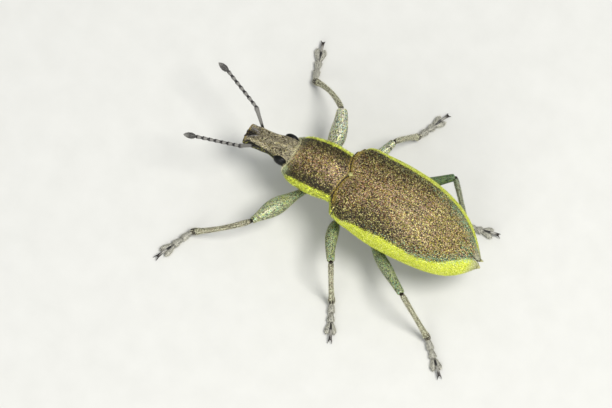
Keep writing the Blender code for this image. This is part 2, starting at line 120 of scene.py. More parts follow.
# Pink-brown, gold, copper, bright, olive and black scales, and their shares by zone. The bright scales are
# painted glints, light caught by single scales.
BROWNS = (
    (0.51, 0.345, 0.225), (0.50, 0.42, 0.085), (0.36, 0.155, 0.05),
    (0.90, 0.82, 0.34), (0.16, 0.13, 0.04), (0.03, 0.02, 0.01),
)
FRONT_SHARES = (0.31, 0.13, 0.15, 0.06, 0.14, 0.21)
REAR_SHARES = (0.26, 0.26, 0.04, 0.09, 0.19, 0.16)
# Shares and loss of colour for the painted shade on the flank above each yellow band and in the pits
SHADE_SHARES = (0.11, 0.13, 0.05, 0.10, 0.10, 0.51)
SHADE_LOSS = (0.60, 0.56, 0.68)
# Length, width and height of one scale, and the distance between rows
WING_SCALE, WING_PITCH = (0.038, 0.028, 0.0055), 0.0345
BAND_HAIR = (0.07, 0.008, 0.6)  # length, thickness and lift


def along(table, place):
    """The columns of a table at each place, on smooth curves through its rows."""
    rows = np.array(table, float)
    places, values = rows[:, 0], rows[:, 1:]
    slopes = np.gradient(values, places, axis=0)
    place = np.asarray(place, float)
    k = np.clip(np.searchsorted(places, place) - 1, 0, len(places) - 2)
    step = (places[k + 1] - places[k])[..., None]
    t = (place - places[k])[..., None] / step
    found = (
        (2 * t**3 - 3 * t**2 + 1) * values[k]
        + (t**3 - 2 * t**2 + t) * step * slopes[k]
        + (3 * t**2 - 2 * t**3) * values[k + 1]
        + (t**3 - t**2) * step * slopes[k + 1]
    )
    return np.moveaxis(found, -1, 0)


def ramp(value, start, end):
    """0 at the start, 1 at the end and smooth between."""
    t = np.clip((value - start) / (end - start), 0, 1)
    return t * t * (3 - 2 * t)


def hill(off, width):
    """1 on a line or spot, falling to nothing beyond its width."""
    return np.exp(-((off / width) ** 2))


def unit(vectors):
    return vectors / (np.linalg.norm(vectors, axis=-1, keepdims=True) + 1e-12)


def far(points, spot):
    return np.linalg.norm(points - spot, axis=1)


def run_of(line):
    """How far each point of a line lies from its start, along it."""
    return np.concatenate([[0], np.cumsum(np.linalg.norm(np.diff(line, axis=0), axis=1))])


def evened(rings, count):
    """The rings with their points spread evenly along each of them."""
    even = []
    for ring in rings:
        run = run_of(ring)
        spots = np.linspace(0, run[-1], count)
        even.append(np.stack([np.interp(spots, run, ring[:, k]) for k in range(3)], axis=1))
    return np.array(even)


def facing(rings, closed=True):
    """The outward normal at every point of a table of rings."""
    if closed:
        across = np.roll(rings, -1, axis=1) - np.roll(rings, 1, axis=1)
    else:
        across = np.gradient(rings, axis=1)
    normal = unit(np.cross(across, np.gradient(rings, axis=0)))
    out = rings - rings.mean(axis=1, keepdims=True)
    return normal if (normal * out).sum() >= 0 else -normal


def dress(name, mesh, material, slot, *nodes):
    """Makes a mesh a piece that rides on the body, and stands for the nodes that are named."""
    obj = bpy.data.objects.new(name, mesh)
    bpy.context.scene.collection.objects.link(obj)
    mesh.materials.append(material)
    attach(obj, "root")
    if nodes:
        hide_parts(*nodes)
    return obj


def place_piece(name, shape, material, slot, *nodes):
    """Moves a finished bmesh from the body's millimetres to the frame, and makes it a piece."""
    bmesh.ops.scale(shape, vec=(MM, MM, MM), verts=shape.verts)
    bmesh.ops.translate(shape, vec=shift, verts=shape.verts)
    mesh = bpy.data.meshes.new(name)
    shape.to_mesh(mesh)
    shape.free()
    mesh.shade_smooth()
    mesh.set_sharp_from_angle(angle=math.radians(50))
    return dress(name, mesh, material, slot, *nodes)


def skin(rings):
    """A closed bmesh over a table of closed rings, made by bending a grid round them."""
    rows, count = rings.shape[:2]
    shape = bmesh.new()
    bmesh.ops.create_grid(shape, x_segments=count, y_segments=rows - 1, size=1)
    for vert in shape.verts:
        column = round((vert.co.x + 1) / 2 * count) % count
        row = round((vert.co.y + 1) / 2 * (rows - 1))
        vert.co = rings[row, column]
    bmesh.ops.remove_doubles(shape, verts=shape.verts, dist=1e-6)
    open_edges = [edge for edge in shape.edges if edge.is_boundary]
    bmesh.ops.holes_fill(shape, edges=open_edges, sides=0)
    bmesh.ops.recalc_face_normals(shape, faces=shape.faces)
    return shape


def tint(mesh, colours):
    """Stores one colour for each vertex."""
    layer = mesh.attributes.new("tint", "FLOAT_COLOR", "POINT")
    values = np.ones((len(mesh.vertices), 4), np.float32)
    values[:, :3] = colours
    layer.data.foreach_set("color", values.ravel())


def points_of(mesh):
    """The vertices of a finished mesh, back in the body's millimetres."""
    found = np.empty(len(mesh.vertices) * 3, np.float32)
    mesh.vertices.foreach_get("co", found)
    return (found.reshape(-1, 3) - np.array(shift)) / MM


def varied_group():
    """Colour mottled by two sizes of noise, for every coat, skin and hair."""
    group = bpy.data.node_groups.new("mottle", "ShaderNodeTree")
    for name, way, kind in (
        ("Colour", "INPUT", "Color"), ("Grain", "INPUT", "Float"), ("Depth", "INPUT", "Float"),
        ("Colour", "OUTPUT", "Color"), ("Height", "OUTPUT", "Float"),
    ):
        group.interface.new_socket(name, in_out=way, socket_type="NodeSocket" + kind)
    nodes, link = group.nodes, group.links.new
    given, out = nodes.new("NodeGroupInput"), nodes.new("NodeGroupOutput")
    place = nodes.new("ShaderNodeTexCoord")
    fine, broad = nodes.new("ShaderNodeTexNoise"), nodes.new("ShaderNodeTexNoise")
    broad.inputs["Scale"].default_value = 2200
    fine.inputs["Detail"].default_value = 3
    total, shade, spread = (nodes.new("ShaderNodeMath") for _ in range(3))
    total.operation = spread.operation = "MULTIPLY_ADD"
    shade.operation = "SUBTRACT"
    total.inputs[1].default_value = 0.6
    shade.inputs[1].default_value = 0.8
    spread.inputs[2].default_value = 1
    change = nodes.new("ShaderNodeHueSaturation")
    for source, target in (
        (place.outputs["Object"], fine.inputs["Vector"]),
        (place.outputs["Object"], broad.inputs["Vector"]),
        (given.outputs["Grain"], fine.inputs["Scale"]),
        (broad.outputs["Fac"], total.inputs[0]),
        (fine.outputs["Fac"], total.inputs[2]),
        (total.outputs[0], shade.inputs[0]),
        (shade.outputs[0], spread.inputs[0]),
        (given.outputs["Depth"], spread.inputs[1]),
        (spread.outputs[0], change.inputs["Value"]),
        (given.outputs["Colour"], change.inputs["Color"]),
        (change.outputs["Color"], out.inputs["Colour"]),
        (fine.outputs["Fac"], out.inputs["Height"]),
    ):
        link(source, target)
    return group


mottle = varied_group()


def tinted(name, roughness, grain, depth, relief, metallic=0.0, varnish=0.0, gleam=0.3):
    """A material that takes its colour from the piece's tint, mottles it and roughens the surface."""
    made = bpy.data.materials.new(name)
    made.use_nodes = True
    nodes, link = made.node_tree.nodes, made.node_tree.links.new
    shader = nodes["Principled BSDF"]
    for socket, value in (
        ("Roughness", roughness), ("Metallic", metallic), ("Specular IOR Level", gleam),
        ("Coat Weight", varnish), ("Coat Roughness", 0.25),
    ):
        shader.inputs[socket].default_value = value
    colour = nodes.new("ShaderNodeAttribute")
    colour.attribute_name = "tint"
    mix = nodes.new("ShaderNodeGroup")
    mix.node_tree = mottle
    mix.inputs["Grain"].default_value = grain
    mix.inputs["Depth"].default_value = depth
    bump = nodes.new("ShaderNodeBump")
    bump.inputs["Distance"].default_value = relief
    link(colour.outputs["Color"], mix.inputs["Colour"])
    link(mix.outputs["Colour"], shader.inputs["Base Color"])
    link(mix.outputs["Height"], bump.inputs["Height"])
    link(bump.outputs["Normal"], shader.inputs["Normal"])
    return made


cuticle = tinted("cuticle", roughness=0.5, grain=30000, depth=0.5, relief=4e-6)


def rows_of_pits(place, share, length):
    """How far in one of the rows, and how far in one of its pits, each spot of the wing case lies."""
    groove, pits = 0, 0
    for k in range(1, STRIAE + 1):
        off = (share - k / (STRIAE + 1)) * length
        step = np.sin(math.pi * (place / PIT[2] + 0.37 * k)) ** 2
        groove = groove + hill(off, STRIA[1])
        pits = pits + hill(off, PIT[1]) * ramp(step, 0.45, 0.95) * ramp(place, 6.2, 4.8)
    return groove, pits


def girths(arcs):
    return np.linalg.norm(np.diff(arcs, axis=1), axis=2).sum(axis=1)


def elytron_arcs(side):
    """The outside of a wing case as arcs from the suture to the side edge."""
    places = np.linspace(ELYTRON_START, HIND_BODY[-1][0], ELYTRON_ROWS)[:, None]
    half, top, edge, _ = along(HIND_BODY, places[:, 0])[..., None]
    angle = np.linspace(math.pi / 2, 0, 160)[None, :]
    x = half * np.cos(angle).clip(0) ** (2 / BACK_ROUNDNESS)
    z = edge + (top - edge) * np.sin(angle).clip(0) ** (2 / BACK_ROUNDNESS)
    near = np.clip(1 - (places - ELYTRON_START) / BASE_FADE, 0, None)
    y = places + near * along(ELYTRON_BASE, x.clip(0, 1.8))[0]
    arcs = evened(np.stack([x, y, z], axis=2), ELYTRON_COLUMNS)
    share = np.linspace(0, 1, ELYTRON_COLUMNS)[None, :]
    length = girths(arcs)[:, None]
    groove, pits = rows_of_pits(places, share, length)
    relief = -STRIA[0] * groove - PIT[0] * pits - SUTURE[0] * hill(share * length, SUTURE[1])
    arcs += facing(arcs, False) * (relief * ramp(length, 0.3, 1.2))[..., None]
    seam = SEAM[0] + SEAM[1] * ramp(places, 5.3, 6.3)
    arcs[..., 0] = side * (seam + arcs[..., 0] * (1 - seam / half))
    return arcs


def edge_fold(arcs, side):
    """The rolled side edge, from the end of each arc round and under."""
    turn = np.linspace(0, math.pi / 2, EDGE_FOLD_COLUMNS + 1)[None, 1:]
    inward, down = EDGE_FOLD
    size = ramp(arcs[:, -1, 1], 6.45, 5.6)[:, None] * 0.8 + 0.2
    fold = np.repeat(arcs[:, -1:], EDGE_FOLD_COLUMNS, axis=1)
    fold[..., 0] -= side * inward * size * (1 - np.cos(turn))
    fold[..., 2] -= down * size * np.sin(turn)
    return fold


def wing_tip(last, side):
    """Rings that draw the last one in to the spine."""
    tip = np.array(MUCRO) * (side, 1, 1)
    heart = last.mean(axis=0)
    t = (np.arange(1, MUCRO_ROWS + 1) / MUCRO_ROWS)[:, None, None]
    return heart * (1 - t) + tip * t + (last - heart) * (0.2 + 0.8 * (1 - t) ** 1.1)


def pick(choices, shares, count, rng):
    """One of the colours for each of so many scales, by their shares, each a little off."""
    edges = np.broadcast_to(shares, (count, len(choices))).cumsum(axis=1)
    found = np.array(choices)[(rng.uniform(0, 1, (count, 1)) > edges[:, :-1]).sum(axis=1)]
    return found * rng.normal(1, 0.12, (count, 1)).clip(0.6, 1.5)


def toned(colour, spread, count, rng):
    """One colour for so many scales, lighter on some and darker on others."""
    return np.array(colour) * rng.normal(1, spread, (count, 1)).clip(0.2, 1.8)


def painted_shade(colours, dark, loss, bright_share):
    """The scales in painted shade lose some of each colour, and the brightest, which are painted glints, only
    a share of that.
    """
    dull = np.where(colours.max(axis=1, keepdims=True) < 0.7, 1, bright_share)
    return colours * (1 - dark[:, None] * loss * dull)


def blotches(points, size, seed):
    """A soft random pattern, about -1 to 1, with patches of the given size."""
    rng = np.random.default_rng(seed)
    total = 0
    for _ in range(12):
        way = rng.normal(0, 1, 3)
        way *= rng.uniform(0.6, 1.4) * math.pi / size / np.linalg.norm(way)
        total = total + np.sin(points @ way + rng.uniform(0, 2 * math.pi))
    return total / 3.5


def mixed(one, two, share):
    share = np.asarray(share)[..., None]
    return np.asarray(one) * (1 - share) + np.asarray(two) * share


def back_angle(points):
    """Degrees round the section from the side edge, 0, to the suture, 90, at each point."""
    half, top, edge, _ = along(HIND_BODY, points[:, 1])
    across = (np.abs(points[:, 0]) / half).clip(0, 1) ** (BACK_ROUNDNESS / 2)
    rise = (points[:, 2] - edge) / (top - edge)
    rise = np.sign(rise) * np.abs(rise).clip(0, 1) ** (BACK_ROUNDNESS / 2)
    return np.degrees(np.arctan2(rise, across))


def elytron_band(points, ragged=0.0):
    """How yellow and how teal the wing case is at each point, and how deep the painted shade on its flank
    above the band.
    """
    place = points[:, 1]
    edge = np.where(points[:, 0] > 0, along(ELYTRON_BAND, place)[0], along(RIGHT_BAND, place)[0])
    inside = back_angle(points) - edge + ragged
    rear = ramp(place, 2.5, 4.6)
    right = 1.0 * (points[:, 0] < 0)
    spread = 5 + 6 * rear + 4 * rear * right + 8 * ramp(place, 5.4, 5.9)
    teal = hill(inside - 3 - 3 * right, spread) * (0.12 + (0.88 - 0.2 * right) * rear)
    teal = np.maximum(teal, 0.8 * hill(points[:, 0], 0.12) * ramp(place, 5.1, 5.7))
    # Painted shade: the flank above the band is darker, most towards the front.
    dark = hill(inside - 10, 16 + 14 * ramp(place, 3.6, 0.8)) * ramp(place, 6.2, 1.4)
    return ramp(inside, 1.2, -1.2), teal, dark


def behind_base(points):
    """How far behind the wing case's front edge each point lies."""
    return points[:, 1] - ELYTRON_START - along(ELYTRON_BASE, np.abs(points[:, 0]).clip(0, 1.8))[0]


def scatter(table, pitch, seed, row_share):
    """Spots in staggered, slightly ragged rows over a table of rings, as row and column."""
    rng = np.random.default_rng(seed)
    steps = np.linalg.norm(np.diff(table, axis=0), axis=2).mean(axis=1)
    run = np.concatenate([[0], np.cumsum(steps)])
    rows = np.interp(np.arange(pitch / 2, run[-1], pitch * row_share), run, np.arange(len(run)))
    spots = []
    for number, row in enumerate(rows):
        whole = min(int(row), len(table) - 2)
        girth = run_of(table[whole] + (table[whole + 1] - table[whole]) * (row - whole))
        count = int(girth[-1] / pitch)
        if count < 2:
            continue
        reach = (np.arange(count) + 0.25 + 0.5 * (number % 2) + rng.normal(0, 0.16, count)) / count
        column = np.interp(reach.clip(0, 1) * girth[-1], girth, np.arange(len(girth)))
        spots.append(np.stack([row + rng.normal(0, 0.16, count), column], axis=1))
    return np.concatenate(spots)


def roots(rings, pitch, seed, row_share=1.0, closed=True):
    """Where each scale of a coat grows, as point, normal, lie, and place on the unwrapped skin."""
    normals = facing(rings, closed)
    table = rings
    if closed:
        table, normals = (np.concatenate([values, values[:, :1]], axis=1) for values in (rings, normals))
    spots = scatter(table, pitch, seed, row_share)
    row = spots[:, 0].clip(0, len(table) - 1.001)
    column = spots[:, 1].clip(0, table.shape[1] - 1.001)
    i, j = row.astype(int), column.astype(int)
    a, b = (row - i)[:, None], (column - j)[:, None]
    found = []
    for values in (table, normals, np.gradient(table, axis=0)):
        one = values[i, j] * (1 - b) + values[i, j + 1] * b
        two = values[i + 1, j] * (1 - b) + values[i + 1, j + 1] * b
        found.append(one * (1 - a) + two * a)
    point, normal, lie = found
    normal = unit(normal)
    lie = unit(lie - normal * (lie * normal).sum(axis=1, keepdims=True))
    return point, normal, lie, np.stack([row / len(table), column / table.shape[1]], axis=1)


def some(found, keep):
    return [values[keep] for values in found]


def many(name, shapes, faces, bases, frames, colours, unwrap, material, slot):
    """One joined mesh of many small like shapes: scales or hairs, each with its own colour."""
    count, size = shapes.shape[:2]
    points = bases[:, None] + np.einsum("nvk,nkc->nvc", shapes, frames)
    points = points.reshape(-1, 3) * MM + np.array(shift)
    points[:, 2] = points[:, 2].clip(0)
    corners = (np.array(faces)[None] + (np.arange(count) * size)[:, None, None]).reshape(-1)
    mesh = bpy.data.meshes.new(name)
    mesh.vertices.add(len(points))
    mesh.vertices.foreach_set("co", points.astype(np.float32).ravel())
    mesh.loops.add(len(corners))
    mesh.loops.foreach_set("vertex_index", corners.astype(np.int32))
    mesh.polygons.add(len(corners) // 3)
    mesh.polygons.foreach_set("loop_start", np.arange(0, len(corners), 3, dtype=np.int32))
    mesh.update(calc_edges=True)
    mesh.shade_smooth()
    mesh.set_sharp_from_angle(angle=math.radians(60))
    tint(mesh, np.repeat(colours, size, axis=0))
    patch = shapes[..., :2] / (np.abs(shapes[..., :2]).max() * 2 + 1e-12) * 0.003
    around = (unwrap[:, None] * 0.99 + 0.005 + patch).reshape(-1, 2)
    layer = mesh.uv_layers.new(name="OFBake")
    layer.data.foreach_set("uv", around[corners].astype(np.float32).ravel())
    return dress(name, mesh, material, slot)


def turned(normal, lie, spread, rng):
    """The way each scale or hair points, a little off the lie."""
    turn = rng.normal(0, spread, len(lie))[:, None]
    return lie * np.cos(turn) + np.cross(normal, lie) * np.sin(turn)


SCALE_SIDES = 6


def scales(name, found, colours, size, material, slot, seed, heap=0.0):
    """A coat of domed scales, each a closed lens. Heaped ones lie rough, as powder does."""
    point, normal, lie, unwrap = found
    length, width, height = size
    rng = np.random.default_rng(seed)
    count = len(point)
    ahead = turned(normal, lie, 0.35, rng)
    side = np.cross(normal, ahead)
    heap = np.broadcast_to(heap, count)
    tilt = (0.10 + rng.normal(0, 0.05, count) + rng.normal(0, 0.35, count) * heap)[:, None]
    ahead = ahead * np.cos(tilt) + normal * np.sin(tilt)
    big = rng.normal(1, 0.13, count).clip(0.6, 1.4)[:, None]
    frames = np.stack([ahead * length * big, side * width * big, np.cross(ahead, side) * height], axis=1)
    angle = np.arange(SCALE_SIDES) * 2 * math.pi / SCALE_SIDES
    ring = np.stack([np.cos(angle) / 2, np.sin(angle) / 2, 0 * angle], axis=1)
    lens = np.concatenate([ring, [[0.0, 0.0, 1.0], [0.0, 0.0, -1.6]]])
    faces = []
    for k in range(SCALE_SIDES):
        after = (k + 1) % SCALE_SIDES
        faces += [(k, after, SCALE_SIDES), (after, k, SCALE_SIDES + 1)]
    base = point + normal * (height * 0.6 + rng.uniform(0, 0.024, count) * heap)[:, None]
    shapes = np.broadcast_to(lens, (count, *lens.shape))
    many(name, shapes, faces, base, frames, colours, unwrap, material, slot)


HAIR_FACES = (
    (0, 1, 4), (0, 4, 3), (1, 2, 5), (1, 5, 4), (2, 0, 3),
    (2, 3, 5), (3, 4, 6), (4, 5, 6), (5, 3, 6), (2, 1, 0),
)
scale_shine = tinted("scale", roughness=0.42, grain=60000, depth=0.35, relief=1e-6, metallic=0.10, gleam=0.25)
hair = tinted("hair", roughness=0.45, grain=30000, depth=0.3, relief=5e-7)


def hairs(name, found, colours, size, slot, seed):
    """Short, tapered hairs that rise from their roots and bend back along the lie."""
    point, normal, lie, unwrap = found
    length, thick, lift = size
    rng = np.random.default_rng(seed)
    count = len(point)
    ahead = turned(normal, lie, 0.25, rng)
    long = (length * rng.normal(1, 0.18, count).clip(0.5, 1.6))[:, None]
    rise = (lift + rng.normal(0, 0.08, count))[:, None]
    frames = np.stack([ahead, np.cross(normal, ahead), normal], axis=1)
    around = np.arange(3) * 2 * math.pi / 3
    shapes = np.zeros((count, 7, 3))
    shapes[:, :3] = np.stack([thick / 2 * np.cos(around), thick / 2 * np.sin(around), [-0.01] * 3], axis=1)
    shapes[:, 3:6, 0] = long * 0.45 + thick * 0.4 * np.cos(around)
    shapes[:, 3:6, 1] = thick * 0.4 * np.sin(around)
    shapes[:, 3:6, 2] = long * rise * 0.65
    shapes[:, 6, 0] = long[:, 0]
    shapes[:, 6, 2] = (long * rise)[:, 0]
    colours = np.broadcast_to(colours, (count, 3))
    many(name, shapes, HAIR_FACES, point, frames, colours, unwrap, hair, slot)


for side, word in SIDES:
    arcs = elytron_arcs(side)
    fold = edge_fold(arcs, side)
    outer = np.concatenate([arcs, fold], axis=1)
    picks = np.r_[outer.shape[1] - 1 : 0 : -9, 0]
    inner = outer[:, picks] - facing(outer, False)[:, picks] * ELYTRON_THICKNESS
    inner[:, 0] = outer[:, -1] + (inner[:, 1] - outer[:, -1]) * 0.3
    inner[..., 0] = side * np.maximum(side * inner[..., 0], 0.004)
    rings = np.concatenate([outer, inner], axis=1)
    rings = np.concatenate([rings, wing_tip(rings[-1], side)])
    wing = place_piece("wing_case_" + word, skin(rings), cuticle, "wing_case", "elytron_" + word)
    spots = points_of(wing.data)
    front = behind_base(spots)
    shade = mixed(BARE, np.array(YELLOW) * 0.75, elytron_band(spots)[0] * ramp(spots[:, 1], 6.5, 6.2))
    # Painted shadow, with the dark joint line, along the wing case's front edge.
    shade = mixed(shade, RIM, ramp(front, 0.10, 0.06) * ramp(front, 0.015, 0.03))
    tint(wing.data, mixed(shade, np.array(PALE_YELLOW) * 0.6, ramp(spots[:, 1], 6.38, 6.5)))

    coat = np.concatenate([arcs, fold[:, :5]], axis=1)
    found = roots(coat, WING_PITCH, 11 + side, 0.92, closed=False)
    rng = np.random.default_rng(21 + side)
    spots = found[0]
    count, place = len(spots), spots[:, 1]
    ragged = rng.normal(0, 2.6, count) + 1.5 * blotches(spots, 0.22, 23)
    yellow, teal, dark = elytron_band(spots, ragged)
    row, column = found[3].T * np.array(coat.shape[:2])[:, None]
    girth = np.interp(row, np.arange(ELYTRON_ROWS), girths(arcs))
    groove, pits = rows_of_pits(place, column / (ELYTRON_COLUMNS - 1), girth)
    # Painted shade in the recesses: scales over the pits and rows are darkened.
    dark = np.maximum(dark, (pits + groove * 0.2).clip(0, 0.9))
    behind = ramp(place + 0.3 * blotches(spots, 0.6, 24), 1.6, 4.2)
    shares = mixed(mixed(FRONT_SHARES, REAR_SHARES, behind), SHADE_SHARES, dark)
    colours = painted_shade(pick(BROWNS, shares, count, rng), dark, SHADE_LOSS, 0.6)
    colours *= (1.05 + 0.12 * blotches(spots, 0.35, 25))[:, None]
    grey = hill(back_angle(spots) - along(RIGHT_BAND, place)[0] - 9, 13) * ramp(place, 4.0, 5.0) * (side < 0)
    colours = mixed(colours, toned(OLIVE_GREY, 0.35, count, rng), grey * 0.55)
    tealed = teal * 0.55 > rng.uniform(0, 1, count)
    colours = mixed(colours, pick(TEALS, (0.45, 0.55), count, rng), tealed * 0.9)
    front = behind_base(spots)
    corner = hill(np.abs(spots[:, 0]) - 1.2, 0.25)
    ochre = ramp(front / (1 + (0.4 if side > 0 else 1.2) * corner), 0.15, 0.06) * (0.6 + 0.25 * corner)
    colours = mixed(colours, toned(OCHRE, 0.3, count, rng), ochre)
    bright = pick(YELLOWS, YELLOW_SHARES, count, rng)
    mint = hill(back_angle(spots) - along(ELYTRON_BAND, place)[0] + 3 + ragged, 6) * ramp(place, 4.7, 5.5)
    bright = mixed(bright, MINT, (mint * 0.6 > rng.uniform(0, 1, count)) * (side > 0))
    colours = mixed(colours, bright, yellow)
    colours = mixed(colours, toned(TIP_GREY, 0.2, count, rng), ramp(place, 5.95, 6.25) * 0.85)
    keep = front > rng.normal(0.045, 0.012, count)
    found, colours, heap = some(found, keep), colours[keep], yellow[keep]
    scales("wing_scales_" + word, found, colours, WING_SCALE, scale_shine, "wing_case", 31 + side, heap)
    found = roots(coat, 0.085, 61 + side, closed=False)
    found = some(found, (elytron_band(found[0])[0] > 0.5) & (found[0][:, 1] < 6.1))
    hairs("wing_hairs_" + word, found, YELLOWS[3], BAND_HAIR, "wing_case", 71 + side)


# Scutellum. The small plate between the roots of the wing cases. A bead of chitin under a dense
# patch of pale scales, set a little proud of the back.

SCUTELLUM_HEART, SCUTELLUM_SIZE = (0, 0.03, 3.425), (0.095, 0.11, 0.05)
SCUTELLUM_SCALES = (0.50, 0.48, 0.18)


def ball_rings(centre, size, axis=1):
    """Closed rings of an ellipsoid, from one pole to the other along an axis."""
    turn = np.linspace(0.04, math.pi - 0.04, 24)[:, None]
    around = np.linspace(0, 2 * math.pi, 32, endpoint=False)[None, :]
    one, two = [k for k in range(3) if k != axis]
    found = np.zeros((24, 32, 3))
    found[..., axis] = centre[axis] - size[axis] * np.cos(turn)
    found[..., one] = centre[one] + size[one] * np.sin(turn) * np.cos(around)
    found[..., two] = centre[two] + size[two] * np.sin(turn) * np.sin(around)
    return found


rings = ball_rings(SCUTELLUM_HEART, SCUTELLUM_SIZE)
rings[..., 0] *= 1 - 0.55 * ramp(rings[..., 1], -0.02, 0.14)
plate = place_piece("scutellum_plate", skin(rings), cuticle, "scutellum", "scutellum")
tint(plate.data, np.array(PALE_YELLOW) * 0.5)
found = roots(rings, 0.036, 41)
colours = toned(SCUTELLUM_SCALES, 0.2, len(found[0]), np.random.default_rng(42))
scales("scutellum_scales", found, colours, (0.040, 0.030, 0.006), scale_shine, "scutellum", 43)


# Pronotum. The collar of chitin between head and wing cases, closed all round, with the front legs
# set in below. Fine grains under brown scales, and a yellow band along each side.

# Place, half width, top, middle height, underside
PROTHORAX = (
    (-2.40, 0.78, 2.98, 2.24, 1.50),
    (-2.22, 0.95, 3.14, 2.32, 1.44),
    (-2.00, 1.05, 3.27, 2.40, 1.42),
    (-1.60, 1.12, 3.42, 2.50, 1.43),
    (-1.10, 1.15, 3.53, 2.60, 1.48),
    (-0.60, 1.11, 3.54, 2.70, 1.56),
    (-0.30, 1.09, 3.49, 2.76, 1.62),
    (-0.04, 1.12, 3.42, 2.78, 1.66),
)
PRONOTUM_START, PRONOTUM_END = PROTHORAX[0][0], PROTHORAX[-1][0]
PROTHORAX_ROUNDNESS = 2.15
# How far the hind edge lies ahead of its middle, by place across the body, and how soon that fades
PRONOTUM_BASE = ((0.0, 0.0), (0.16, 0.05), (0.4, 0.13), (0.7, 0.17), (1.0, 0.19), (1.2, 0.20))
PRONOTUM_FADE = 0.6
PRONOTUM_BAND = ((-2.40, 5), (-2.1, 12), (-1.6, 16), (-0.8, 16), (-0.1, 12))
PRONOTUM_RIGHT_RISE = 27
OCULAR_LOBE = (0.13, 2.42, 0.42)  # forward, height, spread
PRONOTUM_ROWS, PRONOTUM_COLUMNS = 120, 220
# Scale shares in the lighter middle and in the painted shade on the sides, and the colour that shade takes
# away
MIDDLE_SHARES = (0.36, 0.14, 0.10, 0.05, 0.15, 0.20)
SIDE_SHARES = (0.10, 0.09, 0.05, 0.06, 0.25, 0.45)
SIDE_SHADE_LOSS = (0.72, 0.69, 0.80)
UNDER_GREY = (0.10, 0.11, 0.06)
GREEN_GREY = (0.46, 0.52, 0.28)
FRINGE = (0.72, 0.67, 0.38)
# More olive and pale lemon on the pronotum's band: partly its grain, partly painted shade and painted
# highlights.
COLLAR_SHARES = (0.38, 0.22, 0.24, 0.16)
PRONOTUM_SCALE = (0.040, 0.030, 0.0055)


def oval_rings(places, half, above, middle, below, roundness, count):
    """Closed rings round the middle line, with their own height above and below the middle."""
    angle = np.linspace(0, 2 * math.pi, 4 * count)[None, :]
    c, s = np.cos(angle), np.sin(angle)
    power = 2 / np.asarray(roundness, float)
    x = half * np.sign(c) * np.abs(c) ** power
    z = middle + np.where(s >= 0, above, below) * np.sign(s) * np.abs(s) ** power
    return evened(np.stack([x, np.broadcast_to(places, x.shape), z], axis=2), count + 1)[:, :-1]


places = np.linspace(PRONOTUM_START, PRONOTUM_END, PRONOTUM_ROWS)[:, None]
half, top, middle, bottom = along(PROTHORAX, places[:, 0])[..., None]
rings = oval_rings(places, half, top - middle, middle, middle - bottom, PROTHORAX_ROUNDNESS, PRONOTUM_COLUMNS)
near = np.clip(1 - (PRONOTUM_END - places) / PRONOTUM_FADE, 0, None)
rings[..., 1] -= near * along(PRONOTUM_BASE, np.abs(rings[..., 0]).clip(0, 1.2))[0]
front_rim = hill(places - PRONOTUM_START, 0.05) * 0.03
rear_rim = hill(places - PRONOTUM_END, 0.045) * 0.012
waist = hill(places - PRONOTUM_START - 0.14, 0.07) * 0.015
rings += facing(rings) * (front_rim + rear_rim - waist)[..., None]
forward, height, spread = OCULAR_LOBE
lobe = hill(rings[..., 2] - height, spread) * ramp(np.abs(rings[..., 0]), 0.4, 0.7)
rings[..., 1] -= forward * lobe * ramp(places, PRONOTUM_START + 0.50, PRONOTUM_START)
coat = rings
collar = []
for t in (0.3, 0.65, 1.0):
    for end, sign, narrowing in ((rings[0], 1, 0.27), (rings[-1], -1, 0.22)):
        heart = end.mean(axis=0)
        ring = heart + (end - heart) * (1 - narrowing * t)
        ring[:, 1] += sign * 0.08 * t * t
        collar.append(ring)
rings = np.concatenate([np.array(collar[0::2])[::-1], rings, np.array(collar[1::2])])
front_coat = rings[:4]
collar_piece = place_piece("pronotum_shell", skin(rings), cuticle, "wing_case", "pronotum")


def pronotum_band(points, ragged=0.0):
    """How yellow and how pale from below the pronotum is at each point, and how deep the painted shade on its
    sides.
    """
    half, top, middle, bottom = along(PROTHORAX, points[:, 1])
    across = (np.abs(points[:, 0]) / half).clip(0, 1)
    rise = (points[:, 2] - middle) / np.where(points[:, 2] > middle, top - middle, middle - bottom)
    angle = np.degrees(np.arctan2(rise, across)) + ragged
    above = angle - along(PRONOTUM_BAND, points[:, 1])[0] - PRONOTUM_RIGHT_RISE * (points[:, 0] < 0)
    below = angle + 34
    return ramp(above, 2, -2) * ramp(below, -3, 3), ramp(below, 3, -3), hill(above - 10, 27)


def before_base(points):
    """How far ahead of the pronotum's hind edge each point lies."""
    return PRONOTUM_END - along(PRONOTUM_BASE, np.abs(points[:, 0]).clip(0, 1.2))[0] - points[:, 1]


spots = points_of(collar_piece.data)
yellow, under, _ = pronotum_band(spots)
shade = mixed(BARE, np.array(YELLOW) * 0.75, yellow)
shade = mixed(shade, UNDER_GREY, np.maximum(under, ramp(spots[:, 1], -2.15, -2.3)))
ahead = before_base(spots)
# Painted shadow, with the dark joint line, along the pronotum's hind edge.
edge = ramp(ahead, 0.08, 0.05) * ramp(ahead, 0.015, 0.03) * ramp(spots[:, 2], 2.6, 2.9)
tint(collar_piece.data, mixed(shade, RIM, edge))

found = roots(coat, 0.037, 51, 0.92)
rng = np.random.default_rng(52)
spots, _, _, unwrap = found
count = len(spots)
yellow, under, dark = pronotum_band(spots, rng.normal(0, 3, count) + 2 * blotches(spots, 0.22, 54))
